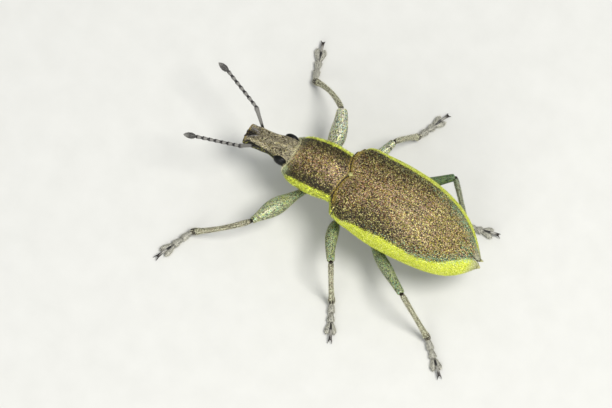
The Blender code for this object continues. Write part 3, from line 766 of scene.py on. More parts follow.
# Painted shade: the pronotum's sides above the band take darker shares and lose colour.
colours = pick(BROWNS, mixed(MIDDLE_SHARES, SIDE_SHARES, dark), count, rng)
colours = painted_shade(colours, dark, SIDE_SHADE_LOSS, 0.75) * (1.04 + 0.15 * blotches(spots, 0.2, 55))[:, None]
ahead = before_base(spots)
colours = mixed(colours, toned(OCHRE, 0.3, count, rng), ramp(ahead, 0.12, 0.05) * 0.7)
rim = ramp(unwrap[:, 0], 0.016, 0.008) * rng.choice((0.2, 0.95), count)
colours = mixed(colours, toned(FRINGE, 0.25, count, rng), rim)
pale = toned(GREEN_GREY, 0.25, count, rng)
colours = mixed(colours, pale, under)
# The band's grains lighter and darker in patches: partly their own tone, partly painted highlights and
# painted shade.
grains = (1.12 + 0.55 * blotches(spots, 0.085, 58)).clip(0.3, 1.8)[:, None]
colours = mixed(colours, pick(YELLOWS, COLLAR_SHARES, count, rng) * grains, yellow)
colours = mixed(colours, pale * 1.1, ramp(unwrap[:, 0], 0.07, 0.03) * ramp(spots[:, 2], 2.72, 2.62))
keep = ahead > rng.normal(0.035, 0.012, count)
found, colours, heap = some(found, keep), colours[keep], 2.0 * yellow[keep]
scales("pronotum_scales", found, colours, PRONOTUM_SCALE, scale_shine, "wing_case", 53, heap)
found = roots(coat, 0.08, 56)
found = some(found, (pronotum_band(found[0])[0] > 0.5) & (before_base(found[0]) > 0.08))
hairs("pronotum_hairs", found, YELLOWS[3], (0.08, 0.008, 0.6), "wing_case", 57)
found = roots(front_coat, 0.034, 59)
colours = np.array(FRINGE) * np.random.default_rng(60).normal(0.6, 0.4, (len(found[0]), 1)).clip(0.08, 1.4)
scales("pronotum_collar_scales", found, colours, (0.038, 0.030, 0.0055), scale_shine, "wing_case", 65)
point, normal, lie, unwrap = roots(coat[:2], 0.02, 66)
colours = np.array(FRINGE) * (1.15 + np.random.default_rng(67).normal(0, 0.2, (len(point), 1)))
hairs("pronotum_fringe", (point, normal, -lie, unwrap), colours, (0.11, 0.010, 0.25), "wing_case", 68)


# Head and rostrum. The head runs out into a short, square snout with a keel along its top, a groove
# on each side for the feeler, and a dark notch with the jaws at its tip. Chitin under grey scales.

# Place, half width, middle height, half height above it and below it
HEAD = (
    (-4.50, 0.43, 2.15, 0.20, 0.24),
    (-4.36, 0.47, 2.19, 0.25, 0.28),
    (-4.15, 0.45, 2.24, 0.28, 0.32),
    (-3.75, 0.42, 2.32, 0.31, 0.36),
    (-3.35, 0.45, 2.39, 0.35, 0.42),
    (-3.05, 0.54, 2.42, 0.42, 0.50),
    (-2.75, 0.63, 2.40, 0.52, 0.60),
    (-2.48, 0.62, 2.34, 0.58, 0.62),
    (-2.20, 0.58, 2.30, 0.56, 0.58),
)
HEAD_ROUNDNESS, ROSTRUM_ROUNDNESS = 2.1, 3.0
NOTCH = (-4.60, 0.25, 0.55, 0.17)  # place, half width there, length, depth
SNOUT_GREYS = (
    (0.49, 0.43, 0.28), (0.36, 0.33, 0.22), (0.52, 0.45, 0.16),
    (0.80, 0.74, 0.42), (0.17, 0.14, 0.08), (0.04, 0.035, 0.02),
)
SNOUT_SHARES = (0.38, 0.24, 0.06, 0.04, 0.15, 0.13)
LIP_GOLD = (0.66, 0.48, 0.10)
# Near-black and olive scales for the painted shade on the side of the snout, below its upper edge
FLANK_DARKS = ((0.02, 0.018, 0.01), (0.42, 0.42, 0.09))
LOWER_RIDGE = (0.06, 2.07, 0.09)  # bulge, height, spread
SCROBE = ((0.50, -4.28, 2.26), (0.50, -3.80, 2.27), (0.54, -3.06, 2.32))
SCROBE_SIZE = (0.08, 0.15)  # depth and half width
KEEL = (0.035, 0.035, -4.15, -2.95)  # height, half width, start and end
KEEL_SIDES = (0.05, 0.17, 0.09)  # depth, place and half width of the dip on each side of it
HEAD_ROWS, HEAD_COLUMNS = 150, 150
TIP_ROWS = 14


def inside_notch(points, wide=NOTCH[1], deep=NOTCH[2]):
    """How far inside the notch's outline each point lies."""
    return wide * (1 - (points[..., 1] - NOTCH[0]) / deep) - np.abs(points[..., 0])


def groove_distance(points):
    """How far each point lies from the line of the feeler's groove, which narrows to the rear."""
    folded = np.concatenate([np.abs(points[..., :1]), points[..., 1:]], axis=-1)
    nearest = np.full(points.shape[:-1], 9.0)
    a, b, c = (np.array(p) for p in SCROBE)
    for t in np.linspace(0, 1, 40):
        spot = a * (1 - t) ** 2 + b * 2 * t * (1 - t) + c * t**2
        off = (folded - spot) * (0.35, 1, 1)
        nearest = np.minimum(nearest, np.linalg.norm(off, axis=-1) / (1 - 0.4 * t))
    return nearest


places = np.linspace(HEAD[-1][0], HEAD[0][0], HEAD_ROWS)[:, None]
half, middle, above, below = along(HEAD, places[:, 0])[..., None]
roundness = HEAD_ROUNDNESS + (ROSTRUM_ROUNDNESS - HEAD_ROUNDNESS) * np.clip((-2.8 - places) / 0.7, 0, 1)
rings = oval_rings(places, half, above, middle, below, roundness, HEAD_COLUMNS)
last, heart = rings[-1], rings[-1].mean(axis=0)
for step in range(1, TIP_ROWS + 1):
    turn = math.pi / 2 * step / TIP_ROWS
    ring = heart + (last - heart) * max(math.cos(turn), 0.02)
    ring[:, 1] = last[:, 1] - 0.09 * math.sin(turn)
    rings = np.concatenate([rings, ring[None]])
height, width, start, end = KEEL
fade = ramp(rings[..., 1], end + 0.2, end - 0.1) * ramp(rings[..., 1], start - 0.1, start + 0.1)
fade *= ramp(rings[..., 2] - 2.3, 0.1, 0.25)
rings[..., 2] += height * fade * hill(rings[..., 0], width)
depth, place, width = KEEL_SIDES
rings[..., 2] -= depth * fade * hill(np.abs(rings[..., 0]) - place, width)
rings[..., 2] -= NOTCH[3] * ramp(inside_notch(rings), -0.05, 0.09) * ramp(rings[..., 2], 2.12, 2.22)
middle_share = hill(rings[..., 0], 0.17) * ramp(rings[..., 2], 2.05, 2.2)
rings[..., 1] += 0.15 * middle_share * ramp(rings[..., 1], -4.32, -4.5)
bulge, height, spread = LOWER_RIDGE
swell = bulge * hill(rings[..., 2] - height, spread) * ramp(rings[..., 1], -3.3, -3.7)
rings[..., 0] += swell * np.sign(rings[..., 0]) * ramp(np.abs(rings[..., 0]), 0.15, 0.35)
depth, width = SCROBE_SIZE
dip = depth * np.exp(-((groove_distance(rings) / width) ** 4))
rings -= facing(rings) * dip[..., None]
face = place_piece("head_capsule", skin(rings), cuticle, "wing_case", "head")


def bare_share(points):
    """How much of the notch's or the groove's bare chitin shows at each point. The near-black given there is
    partly that chitin and partly painted shade in the hollows.
    """
    notch = ramp(inside_notch(points), 0.01, 0.08) * ramp(points[:, 2], 1.95, 2.05)
    return np.maximum(notch, ramp(groove_distance(points), 0.18, 0.10))


# Near-black in the notch and the feeler's groove: partly bare chitin, partly painted shade.
tint(face.data, mixed(np.array(BARE) * 1.3, (0.006, 0.005, 0.004), bare_share(points_of(face.data))))
found = roots(rings[::-1], 0.037, 61, 0.92)
bare = bare_share(found[0])
rng = np.random.default_rng(62)
keep = (bare * 0.8 < rng.uniform(0.1, 0.9, len(bare))) & (found[0][:, 1] < -2.25)
found = some(found, keep)
spots = found[0]
count, place = len(spots), spots[:, 1]
colours = pick(SNOUT_GREYS, SNOUT_SHARES, count, rng) * (0.94 + 0.15 * blotches(spots, 0.15, 64))[:, None]
ahead_of_eyes = ramp(place, -3.1, -3.5) * ramp(spots[:, 2], 2.3, 2.4)
# Painted light and shade of the snout's ribs: lighter on the keels, darker in the dips beside them, ahead of
# the eyes.
ribs = np.cos(spots[:, 0].clip(-0.34, 0.34) * 2 * math.pi / 0.34)
colours *= (1 + 0.28 * ahead_of_eyes * ribs)[:, None]
# Scales in the notch and groove darkened: partly bare chitin, partly painted shade.
colours = mixed(colours, (0.05, 0.045, 0.03), bare[keep] * 0.85)
# Painted shade: soft dark brown reaching up the snout from the notch.
colours = mixed(colours, (0.12, 0.095, 0.06), ramp(inside_notch(spots, 0.22, 1.0), -0.05, 0.12) * 0.55)
sheen = hill(inside_notch(spots) + 0.04, 0.035) * ramp(place, -4.05, -4.2)
colours = mixed(colours, (0.50, 0.50, 0.55), sheen * 0.5)
colours = mixed(colours, toned(LIP_GOLD, 0.25, count, rng), ramp(place, -4.46, -4.54) * 0.7)
rise = spots[:, 2] - along(HEAD, place)[1]
colours = mixed(colours, toned(GREEN_GREY, 0.25, count, rng), ramp(rise, -0.05, -0.25))
# Painted shade on the side of the snout below its upper edge, ahead of the eyes.
flank = ramp(rise, 0.12, 0.06) * ramp(rise, -0.30, -0.22) * ramp(place, -2.98, -3.12)
flank *= ramp(np.abs(spots[:, 0]), 0.2, 0.3)
colours = mixed(colours, pick(FLANK_DARKS, (0.88, 0.12), count, rng), flank * 0.9)
scales("head_scales", found, colours, (0.041, 0.030, 0.0055), scale_shine, "wing_case", 63)


# Eyes. Low black domes at the root of the snout, each of some hundreds of tiny lenses in a honeycomb.
# Clear, glossy chitin over black.

EYE = (0.56, -2.80, 2.50)
EYE_SIZE = (0.175, 0.31, 0.25)
EYE_BLACK = (0.004, 0.0045, 0.004)
LENS_RISE = 0.012

gloss = tinted("eye_lens", roughness=0.30, grain=40000, depth=0.6, relief=3e-7, gleam=0.2)
for side, word in SIDES:
    shape = bmesh.new()
    bmesh.ops.create_icosphere(shape, subdivisions=5, radius=1)
    made = bmesh.ops.subdivide_edges(shape, edges=shape.edges, cuts=1, use_grid_fill=True)
    between = set(made["geom_inner"])
    for vert in shape.verts:
        vert.co.normalize()
        if vert not in between:
            vert.co *= 1 + LENS_RISE
    bmesh.ops.scale(shape, vec=EYE_SIZE, verts=shape.verts)
    bmesh.ops.translate(shape, vec=(side * EYE[0], EYE[1], EYE[2]), verts=shape.verts)
    eye = place_piece("eye_dome_" + word, shape, gloss, "eye", "eye_" + word)
    tint(eye.data, EYE_BLACK)


# Underside. The plates of the middle and hind thorax and the five belly rings, grown together to a
# keel shape that closes the body from below. Chitin under yellow-green scales.

BELLY_INSET = 0.10
VENTRITE_EDGES = (2.24, 3.30, 4.20, 4.75, 5.25)
UNDER_SEAMS = (*VENTRITE_EDGES, 0.10, 0.86)
UNDER_SEAM = (0.035, 0.035)  # depth and half width
UNDERSIDE_ROWS, UNDERSIDE_COLUMNS = 190, 150
UNDER_GREENS = (
    (0.52, 0.58, 0.20), (0.40, 0.48, 0.24), (0.60, 0.62, 0.16), (0.30, 0.42, 0.28), (0.06, 0.06, 0.03),
)
UNDER_SHARES = (0.34, 0.26, 0.18, 0.12, 0.10)

places = np.linspace(-0.30, 6.30, UNDERSIDE_ROWS)[:, None]
half, top, edge, belly = along(HIND_BODY, places[:, 0])[..., None]
neck = 1 - 0.06 * ramp(places, 0.0, -0.2) - 0.15 * ramp(places, -0.18, -0.3)
inset = half - BELLY_INSET * (1 - 0.5 * ramp(places, 0.5, 0.0))
above = (top - edge - 0.2).clip(0.02) * (0.7 + 0.5 * ramp(places, 0.6, 0.0))
middle = edge - 0.04
rings = oval_rings(places, inset * neck, above, middle, (middle - belly) * neck, 2.0, UNDERSIDE_COLUMNS)
seams = sum(hill(places - at, UNDER_SEAM[1]) for at in UNDER_SEAMS)
rings -= facing(rings) * (UNDER_SEAM[0] * seams)[..., None]
breast = place_piece("underside_plates", skin(rings), cuticle, "underside", "thorax", "abdomen")
tint(breast.data, (0.05, 0.05, 0.025))
found = roots(rings, 0.050, 71, 0.92)
rng = np.random.default_rng(72)
x, y, z = found[0].T
off_seam = np.abs(y[:, None] - np.array(UNDER_SEAMS)).min(axis=1)
off_seam = np.minimum(off_seam, np.where(y < VENTRITE_EDGES[0], np.abs(x), 1) + 0.008)
shown = (z < along(HIND_BODY, y)[2] + 0.02) | (y < 0.06)
found = some(found, shown & (off_seam > rng.normal(0.026, 0.006, len(off_seam))))
x, y, z = found[0].T
colours = pick(UNDER_GREENS, UNDER_SHARES, len(x), rng)
side_on = ramp(y, 0.5, 0.1) * ramp(z, 1.9, 2.3)
colours = mixed(colours, pick(YELLOWS, YELLOW_SHARES, len(x), rng) * 0.8, side_on)
colours = mixed(colours, pick(BROWNS, SIDE_SHARES, len(x), rng), ramp(z, 2.80, 2.95))
scales("underside_scales", found, colours, (0.058, 0.048, 0.007), scale_shine, "underside", 73)


# Legs. Hip, thigh, shin and foot, tubes of chitin that pivot at black joints. Pale grey-green scales
# with a green glint on the thighs, rows of short hairs on the shins, felted pads under the feet.

# Knee, ankle, and where the claws stand
LEGS = {
    "front_left": ((3.13, -2.63, 1.50), (4.25, -4.55, 0.30), (6.15, -5.38)),
    "front_right": ((-3.19, -1.60, 1.81), (-4.48, -3.15, 0.30), (-6.41, -3.69)),
    "mid_left": ((3.26, 1.04, 2.07), (3.99, 1.89, 0.30), (5.65, 2.65)),
    "mid_right": ((-3.10, 0.95, 1.66), (-4.54, 1.74, 0.30), (-6.25, 2.46)),
    "hind_left": ((2.94, 4.23, 1.96), (3.32, 6.09, 0.30), (4.65, 7.35)),
    "hind_right": ((-2.70, 3.86, 2.38), (-2.03, 5.24, 0.34), (-2.44, 6.75)),
}
COXAE = {
    "front": ((0.36, -1.24, 1.40), (0.30, 0.33, 0.33)),
    "mid": ((0.66, 0.46, 1.26), (0.31, 0.30, 0.30)),
    "hind": ((0.92, 1.88, 1.17), (0.38, 0.26, 0.27)),
}
FEMUR_START = {"front": (0.24, 0.02, -0.20), "mid": (0.26, 0.02, -0.17), "hind": (0.26, 0.10, -0.15)}
FEMUR_RADIUS = {"front": 0.36, "mid": 0.258, "hind": 0.25}
# Share of the length, and of the greatest radius there
SLIM_THIGH = (
    (0.0, 0.42), (0.16, 0.50), (0.34, 0.90), (0.50, 1.0),
    (0.66, 0.93), (0.82, 0.74), (0.93, 0.66), (1.0, 0.60),
)
CLUBBED_THIGH = ((0.0, 0.42), (0.18, 0.46), (0.38, 0.74), (0.56, 1.0))
FEMUR_SHAPE = {
    "front_left": (*CLUBBED_THIGH, (0.70, 0.94), (0.84, 0.66), (0.93, 0.47), (1.0, 0.40)),
    "front_right": (*CLUBBED_THIGH, (0.72, 0.95), (0.84, 0.80), (0.93, 0.70), (1.0, 0.60)),
}
FEMUR_BOW = {
    "front_left": (0.0, 0.0, 0.10), "front_right": (0.0, 0.22, 0.08), "mid_left": (0.0, -0.20, 0.10),
    "mid_right": (0.0, -0.08, 0.08), "hind_left": (0.0, -0.07, 0.06), "hind_right": (0.0, -0.10, 0.06),
}
TIBIA_BOW = {"front": 0.15, "mid": 0.05, "hind": 0.02}
TIBIA_SHAPE = (
    (0.0, 0.09), (0.03, 0.10), (0.06, 0.12), (0.5, 0.098), (0.85, 0.115), (0.95, 0.16), (1.0, 0.12),
)
LIMB_ROWS, LIMB_COLUMNS = 90, 40
# How far from the knee the scales of thigh and shin end
KNEE = {"front": (0.10, 0.11), "mid": (0.075, 0.06), "hind": (0.075, 0.06)}
# Pale olive, grey, yellow-green, glinting and black scales, and their shares on the sides and on the
# upward-facing top. The scales are green and metallic, and the extra glinting and yellow-green ones on top
# are painted glints
LEG_GREENS = (
    (0.62, 0.66, 0.40), (0.56, 0.55, 0.37), (0.66, 0.74, 0.24), (0.36, 0.64, 0.44), (0.10, 0.11, 0.065),
)
LEG_SHARES = (0.33, 0.34, 0.12, 0.04, 0.17)
UPPER_GLINT_SHARES = (0.32, 0.19, 0.19, 0.14, 0.16)
THIGH_HAIR = (0.66, 0.64, 0.46)
SHIN_GREYS = ((0.76, 0.77, 0.54), (0.58, 0.59, 0.44), (0.50, 0.40, 0.29), (0.08, 0.07, 0.05))
SHIN_SHARES = (0.38, 0.29, 0.12, 0.21)
SHIN_HAIRS = ((0.78, 0.76, 0.54), (0.58, 0.55, 0.38))
# Each leg's scales and hairs lighter or darker as a whole: painted light and shade, as all six legs share one
# colour; the hind right leg is darkest.
LEG_LIGHTING = {
    "hind_right": (0.30, 0.42, 0.32), "front_right": (1.22, 1.14, 1.4), "mid_right": (1.12, 1.08, 1.25),
    "mid_left": (0.88, 0.9, 0.85), "hind_left": (0.78, 0.84, 0.8),
}
SHIN_LIGHTING = {"hind_right": (0.50, 0.68, 0.72), "front_left": (0.88, 0.86, 0.86)}
FOOT_GREYS = ((0.66, 0.65, 0.54), (0.42, 0.41, 0.35), (0.07, 0.065, 0.06))
FOOT_SHARES = (0.50, 0.34, 0.16)
FOOT_HAIRS = ((0.66, 0.64, 0.53), (0.48, 0.46, 0.39))
LONG_HAIR = (0.11, 0.010, 0.40)
HIP_SCALE, THIGH_SCALE = (0.055, 0.045, 0.006), (0.052, 0.034, 0.006)
SHIN_SCALE, FOOT_SCALE = (0.050, 0.028, 0.005), (0.05, 0.026, 0.005)
THIGH_SKIN, SHIN_SKIN, FOOT_SKIN = (0.07, 0.08, 0.05), (0.22, 0.21, 0.13), (0.28, 0.275, 0.235)
KNEE_BLACK, ANKLE_BROWN = (0.01, 0.01, 0.008), (0.02, 0.014, 0.009)
# Foot, for one 2 mm long: joints and lobes as start, end, half width and height at both ends
FOOT_LENGTH = 2.0
FOOT_JOINTS = ((-0.06, 0.54, 0.06, 0.155, 0.20, 0.15), (0.50, 0.94, 0.07, 0.165, 0.16, 0.13))
FOOT_LOBE = (0.90, 1.50, 0.06, 0.125, 0.13, 0.10)
FOOT_LOBE_SPREAD = 0.27
FOOT_JOINT_THICKNESS, FOOT_LOBE_THICKNESS = (0.075, 0.035), (0.07, 0.02)  # at the ends, and more between
CLAW_JOINT = ((1.00, 0.0, 0.17), (1.48, 0.0, 0.26), (1.80, 0.0, 0.16))
CLAW_JOINT_RADII = (0.045, 0.05, 0.07)
CLAW = ((1.76, 0.02, 0.15), (1.88, 0.08, 0.17), (1.96, 0.09, 0.03))
CLAW_RADII = (0.036, 0.006)

limb = tinted("limb_cuticle", roughness=0.38, grain=32000, depth=0.5, relief=3e-6)
glint = tinted("leg_scale", roughness=0.40, grain=60000, depth=0.35, relief=1e-6, metallic=0.3, gleam=0.2)
claw_black = tinted("claw", roughness=0.22, grain=26000, depth=0.4, relief=1e-6, varnish=0.3)


def bezier(points, count):
    """Points along the curve that the given control points pull."""
    t = np.linspace(0, 1, count)[:, None]
    level = [np.broadcast_to(np.array(p, float), (count, 3)) for p in points]
    while len(level) > 1:
        level = [a * (1 - t) + b * t for a, b in zip(level, level[1:])]
    return level[0]


def tube_rings(path, radii, count):
    """Closed rings round a path."""
    ahead = unit(np.gradient(path, axis=0))
    side = np.cross(ahead[0], (0, 0, 1.0))
    rings = []
    around = np.linspace(0, 2 * math.pi, count, endpoint=False)[:, None]
    for here, way, radius in zip(path, ahead, radii):
        side = unit(side - way * side.dot(way))
        rings.append(here + radius * (np.cos(around) * side + np.sin(around) * np.cross(side, way)))
    return np.array(rings)


def round_ends(rings, steps=6, bulge=0.6):
    """Adds a dome to each end of a tube."""
    caps = []
    for end, beside in ((rings[0], rings[1]), (rings[-1], rings[-2])):
        heart = end.mean(axis=0)
        way = unit(heart - beside.mean(axis=0)) * far(end, heart).mean() * bulge
        turn = (math.pi / 2 * np.arange(1, steps + 1) / steps)[:, None, None]
        caps.append(heart + (end - heart) * np.cos(turn).clip(0.02) + way * np.sin(turn))
    return np.concatenate([caps[0][::-1], rings, caps[1]])


def joined(tables):
    """One bmesh of the skins over several tables of rings."""
    shape = bmesh.new()
    for rings in tables:
        part = skin(rings)
        mesh = bpy.data.meshes.new("part")
        part.to_mesh(mesh)
        part.free()
        shape.from_mesh(mesh)
        bpy.data.meshes.remove(mesh)
    return shape


def leg_seed(name):
    return 100 + 10 * list(LEGS).index(name)


def make_thigh(name, pair, side, knee):
    (x, y, z), size = COXAE[pair]
    reach = FEMUR_START[pair]
    seed = leg_seed(name)
    # Painted light and shade of this whole leg.
    tone = LEG_LIGHTING.get(name, (1, 1, 1))
    rings = ball_rings((side * x, y, z), size, axis=2)
    hip = place_piece("hip_" + name, skin(rings), limb, "underside", "coxa_" + name)
    tint(hip.data, UNDER_GREY)
    found = roots(rings, 0.050, seed)
    found = some(found, found[0][:, 2] < z + 0.1)
    colours = pick(UNDER_GREENS, UNDER_SHARES, len(found[0]), np.random.default_rng(seed))
    scales("hip_scales_" + name, found, colours, HIP_SCALE, glint, "underside", seed)

    start = np.array((side * (x + reach[0] * 0.5), y + reach[1], z + reach[2] * 0.6))
    bend = (start + knee) / 2 + 2 * np.array(FEMUR_BOW[name])
    path = bezier([start, bend, knee - unit(knee - bend) * 0.07], LIMB_ROWS)
    radii = FEMUR_RADIUS[pair] * along(FEMUR_SHAPE.get(name, SLIM_THIGH), np.linspace(0, 1, LIMB_ROWS))[0]
    tube = tube_rings(path, radii, LIMB_COLUMNS)
    rings = round_ends(tube, bulge=0.4)
    thigh = place_piece("thigh_" + name, skin(rings), limb, "thigh", "femur_" + name)
    black = ramp(far(points_of(thigh.data), knee), 0.12, 0.09)
    tint(thigh.data, mixed(THIGH_SKIN, KNEE_BLACK, black))
    found = roots(rings, 0.044, seed + 1, 0.95)
    rng = np.random.default_rng(seed + 2)
    found = some(found, far(found[0], knee) > rng.normal(KNEE[pair][0], 0.008, len(found[0])))
    up = found[1][:, 2]
    # Painted glints: more glinting and yellow-green scales where the thigh faces up, in random patches.
    upper_glint = (ramp(up, 0.35, 0.8) * ramp(up, 1.05, 0.85) + 0.5 * blotches(found[0], 0.4, 26)).clip(0, 1)
    colours = pick(LEG_GREENS, mixed(LEG_SHARES, UPPER_GLINT_SHARES, upper_glint), len(up), rng) * tone
    scales("thigh_scales_" + name, found, colours, THIGH_SCALE, glint, "thigh", seed + 3)
    found = roots(tube, 0.085, seed + 6, 0.95)
    found = some(found, far(found[0], knee) > 0.15)
    hairs("thigh_hairs_" + name, found, np.array(THIGH_HAIR) * tone, (0.075, 0.009, 0.35), "thigh", seed + 7)


def make_shin(name, pair, side, knee, ankle):
    seed = leg_seed(name) + 4
    shin = unit(ankle - knee)
    outward = np.array((side, 0, 0.3))
    outward = unit(outward - shin * outward.dot(shin))
    bend = (knee + ankle) / 2 + outward * 2 * TIBIA_BOW[pair]
    foot = ankle + np.array((0, 0, -0.10))
    path = bezier([knee + shin * 0.03, bend, foot + shin * 0.02], LIMB_ROWS)
    radii = np.interp(np.linspace(0, 1, LIMB_ROWS), *zip(*TIBIA_SHAPE))
    radii = np.convolve(np.pad(radii, 3, mode="edge"), np.ones(7) / 7, mode="valid")
    tube = tube_rings(path, radii, LIMB_COLUMNS)
    piece = place_piece("shin_" + name, skin(round_ends(tube, bulge=0.5)), limb, "shin", "tibia_" + name)
    spots = points_of(piece.data)
    dark = np.maximum(ramp(far(spots, knee), 0.12, 0.10), ramp(far(spots, foot), 0.29, 0.24))
    tint(piece.data, mixed(SHIN_SKIN, ANKLE_BROWN, dark))
    found = roots(tube, 0.046, seed + 1)
    rng = np.random.default_rng(seed + 2)
    below_knee = far(found[0], knee) > rng.normal(KNEE[pair][1], 0.008, len(found[0]))
    found = some(found, below_knee & (far(found[0], foot) > 0.24))
    colours = pick(SHIN_GREYS, SHIN_SHARES, len(found[0]), rng)
    steps = np.sin(found[3][:, 0] * 72) * np.sin(found[3][:, 1] * 2 * math.pi * 3)
    colours = mixed(colours, (0.05, 0.04, 0.025), ramp(np.abs(steps), 0.45, 0.65) * 0.85)
    # Painted light and shade of this whole shin.
    colours = colours * SHIN_LIGHTING.get(name, (1, 1, 1))
    scales("shin_scales_" + name, found, colours, SHIN_SCALE, glint, "shin", seed + 3)
    found = roots(tube, 0.075, seed + 4)
    found = some(found, far(found[0], knee) > 0.25)
    colours = pick(SHIN_HAIRS, (0.6, 0.4), len(found[0]), rng)
    hairs("shin_hairs_" + name, found, colours, LONG_HAIR, "shin", seed + 5)


def foot_part(size, turn):
    """One joint of the foot, or with a turn one lobe, from its ends, half widths and heights."""
    start, end, wide_a, wide_b, high_a, high_b = size
    t = np.linspace(0, 1, 26)
    reach = (end - start) * t
    path = np.stack([start + reach, turn * FOOT_LOBE_SPREAD * reach, high_a + (high_b - high_a) * t], axis=1)
    if turn:
        flat, arch = FOOT_LOBE_THICKNESS
        broad = np.sin(math.pi / 2 * np.minimum(t * 1.35, 1))
        narrow = np.sqrt(1 - ramp(t, 0.72, 1.04) ** 2 * 0.9)
    else:
        flat, arch = FOOT_JOINT_THICKNESS
        broad = np.sin(math.pi / 2 * t) ** 1.3
        narrow = 1 - 0.35 * ramp(t, 0.9, 1.0)
    wide = (wide_a + (wide_b - wide_a) * broad) * narrow
    ahead = unit(np.gradient(path, axis=0))
    side = np.stack([-ahead[:, 1], ahead[:, 0], 0 * t], axis=1)
    around = np.linspace(0, 2 * math.pi, 28, endpoint=False)
    ring = path[:, None] + side[:, None] * (wide[:, None] * np.cos(around))[..., None]
    ring[..., 2] += (flat + arch * np.sin(math.pi * t))[:, None] * np.sin(around)
    return round_ends(ring, steps=5, bulge=0.35)


def roots_of_all(coats, pitch, seed):
    """The roots over several tables of rings, one table after the other."""
    found = [roots(coat, pitch, seed + k) for k, coat in enumerate(coats)]
    return [np.concatenate(group) for group in zip(*found)]


def make_foot(name, ankle, claw):
    seed = leg_seed(name) + 9
    reach = np.array(claw) - ankle[:2]
    stretch = np.linalg.norm(reach) / FOOT_LENGTH
    way = unit(reach)
    turned_way = np.array([(way[0] * stretch, way[1] * stretch, 0), (-way[1], way[0], 0), (0, 0, 1)])

    def laid(rings):
        return rings @ turned_way + np.array((ankle[0], ankle[1], 0))

    parts = [(size, 0) for size in FOOT_JOINTS] + [(FOOT_LOBE, 1), (FOOT_LOBE, -1)]
    coats = [laid(foot_part(*part)) for part in parts]
    for coat in coats:
        coat[..., 2] = np.maximum(coat[..., 2], 0.005)
    foot = place_piece("foot_" + name, joined(coats), limb, "foot", "tarsus_" + name)
    tint(foot.data, FOOT_SKIN)
    rng = np.random.default_rng(seed)
    found = roots_of_all(coats, 0.045, seed)
    topside = ramp(found[1][:, 2], 0.3, 0.95)
    greys = pick(FOOT_GREYS, FOOT_SHARES, len(topside), rng) * (1.25 - 0.55 * topside)[:, None]
    colours = mixed(greys, (0.05, 0.045, 0.045), ramp(found[3][:, 0], 0.36, 0.24) * 0.85)
    scales("foot_scales_" + name, found, colours, FOOT_SCALE, glint, "foot", seed + 5)
    found = roots_of_all(coats, 0.060, seed + 9)
    found = some(found, found[1][:, 2] > -0.35)
    colours = pick(FOOT_HAIRS, (0.6, 0.4), len(found[0]), rng)
    hairs("foot_hairs_" + name, found, colours, LONG_HAIR, "foot", seed + 6)

    arms = [(bezier(CLAW_JOINT, 30), np.interp(np.linspace(0, 1, 30), (0, 0.5, 1), CLAW_JOINT_RADII))]
    for turn in (1, -1):
        hook = [(x, turn * y, z) for x, y, z in CLAW]
        arms.append((bezier(hook, 20), np.linspace(*CLAW_RADII, 20)))
    shape = joined([laid(round_ends(tube_rings(path, radii, 16), steps=4)) for path, radii in arms])
    claws = place_piece("claws_" + name, shape, claw_black, "foot")
    out = (points_of(claws.data)[:, :2] - ankle[:2]) @ way / stretch
    shade = mixed((0.015, 0.014, 0.014), (0.28, 0.27, 0.24), ramp(out, 1.32, 1.42))
    tint(claws.data, mixed(shade, (0.02, 0.015, 0.012), ramp(out, 1.55, 1.75)))


for name, (knee, ankle, claw) in LEGS.items():
    pair, word = name.split("_")
    side = 1 if word == "left" else -1
    knee, ankle = np.array(knee), np.array(ankle)
    make_thigh(name, pair, side, knee)
    make_shin(name, pair, side, knee, ankle)
    make_foot(name, ankle, claw)


# Feelers. A stalk, a lash of seven beads and a four-ringed club, elbowed after the stalk. Grey, hairy
# chitin with black waists between the beads.

# Root, elbow, where the club starts, and tip
ANTENNAE = {
    "left": ((0.46, -4.08, 2.28), (1.05, -4.56, 2.86), (1.64, -6.31, 2.87), (1.82, -6.79, 2.87)),
    "right": ((-0.46, -4.08, 2.28), (-0.89, -4.74, 2.82), (-1.69, -6.47, 2.84), (-1.82, -6.97, 2.84)),
}
SCAPE_SHAPE = ((0.0, 0.055), (0.15, 0.06), (0.7, 0.08), (0.93, 0.10), (1.0, 0.08))
BEADS = 7
BEAD_SHAPE = ((0.0, 0.054), (0.12, 0.058), (0.55, 0.073), (0.85, 0.079), (0.95, 0.069), (1.0, 0.054))
FEELER_CLUB = (
    (0.0, 0.045), (0.10, 0.085), (0.30, 0.125), (0.50, 0.130), (0.75, 0.105), (0.92, 0.055), (1.0, 0.02),
)
CLUB_RINGS = (0.28, 0.52, 0.76)
CLUB_RING = (0.012, 0.02)  # depth and half width
FEELER_GREY = (0.19, 0.185, 0.17)
FEELER_BLACK = (0.012, 0.010, 0.010)
FEELER_HAIRS = ((0.40, 0.39, 0.35), (0.22, 0.21, 0.19))


def off_waist(share):
    """How far from the nearest waist of the lash, in beads."""
    return np.abs((share * BEADS + 0.5) % 1.0 - 0.5)


def feeler_piece(label, node, word, start, end, radii, seed):
    """One stretch of a feeler, with its hairs, and its skin's points for its colour."""
    t = np.linspace(0, 1, len(radii))[:, None]
    rings = tube_rings(start + (end - start) * t, radii, 24)
    piece = place_piece(label + word, skin(round_ends(rings)), limb, "feeler", node + word)
    found = roots(rings, 0.040, seed)
    if label == "lash_":
        found = some(found, off_waist(found[3][:, 0]) > 0.22)
    colours = pick(FEELER_HAIRS, (0.5, 0.5), len(found[0]), np.random.default_rng(seed))
    hairs(label + "hairs_" + word, found, colours, (0.055, 0.007, 0.30), "feeler", seed + 1)
    return piece, points_of(piece.data)


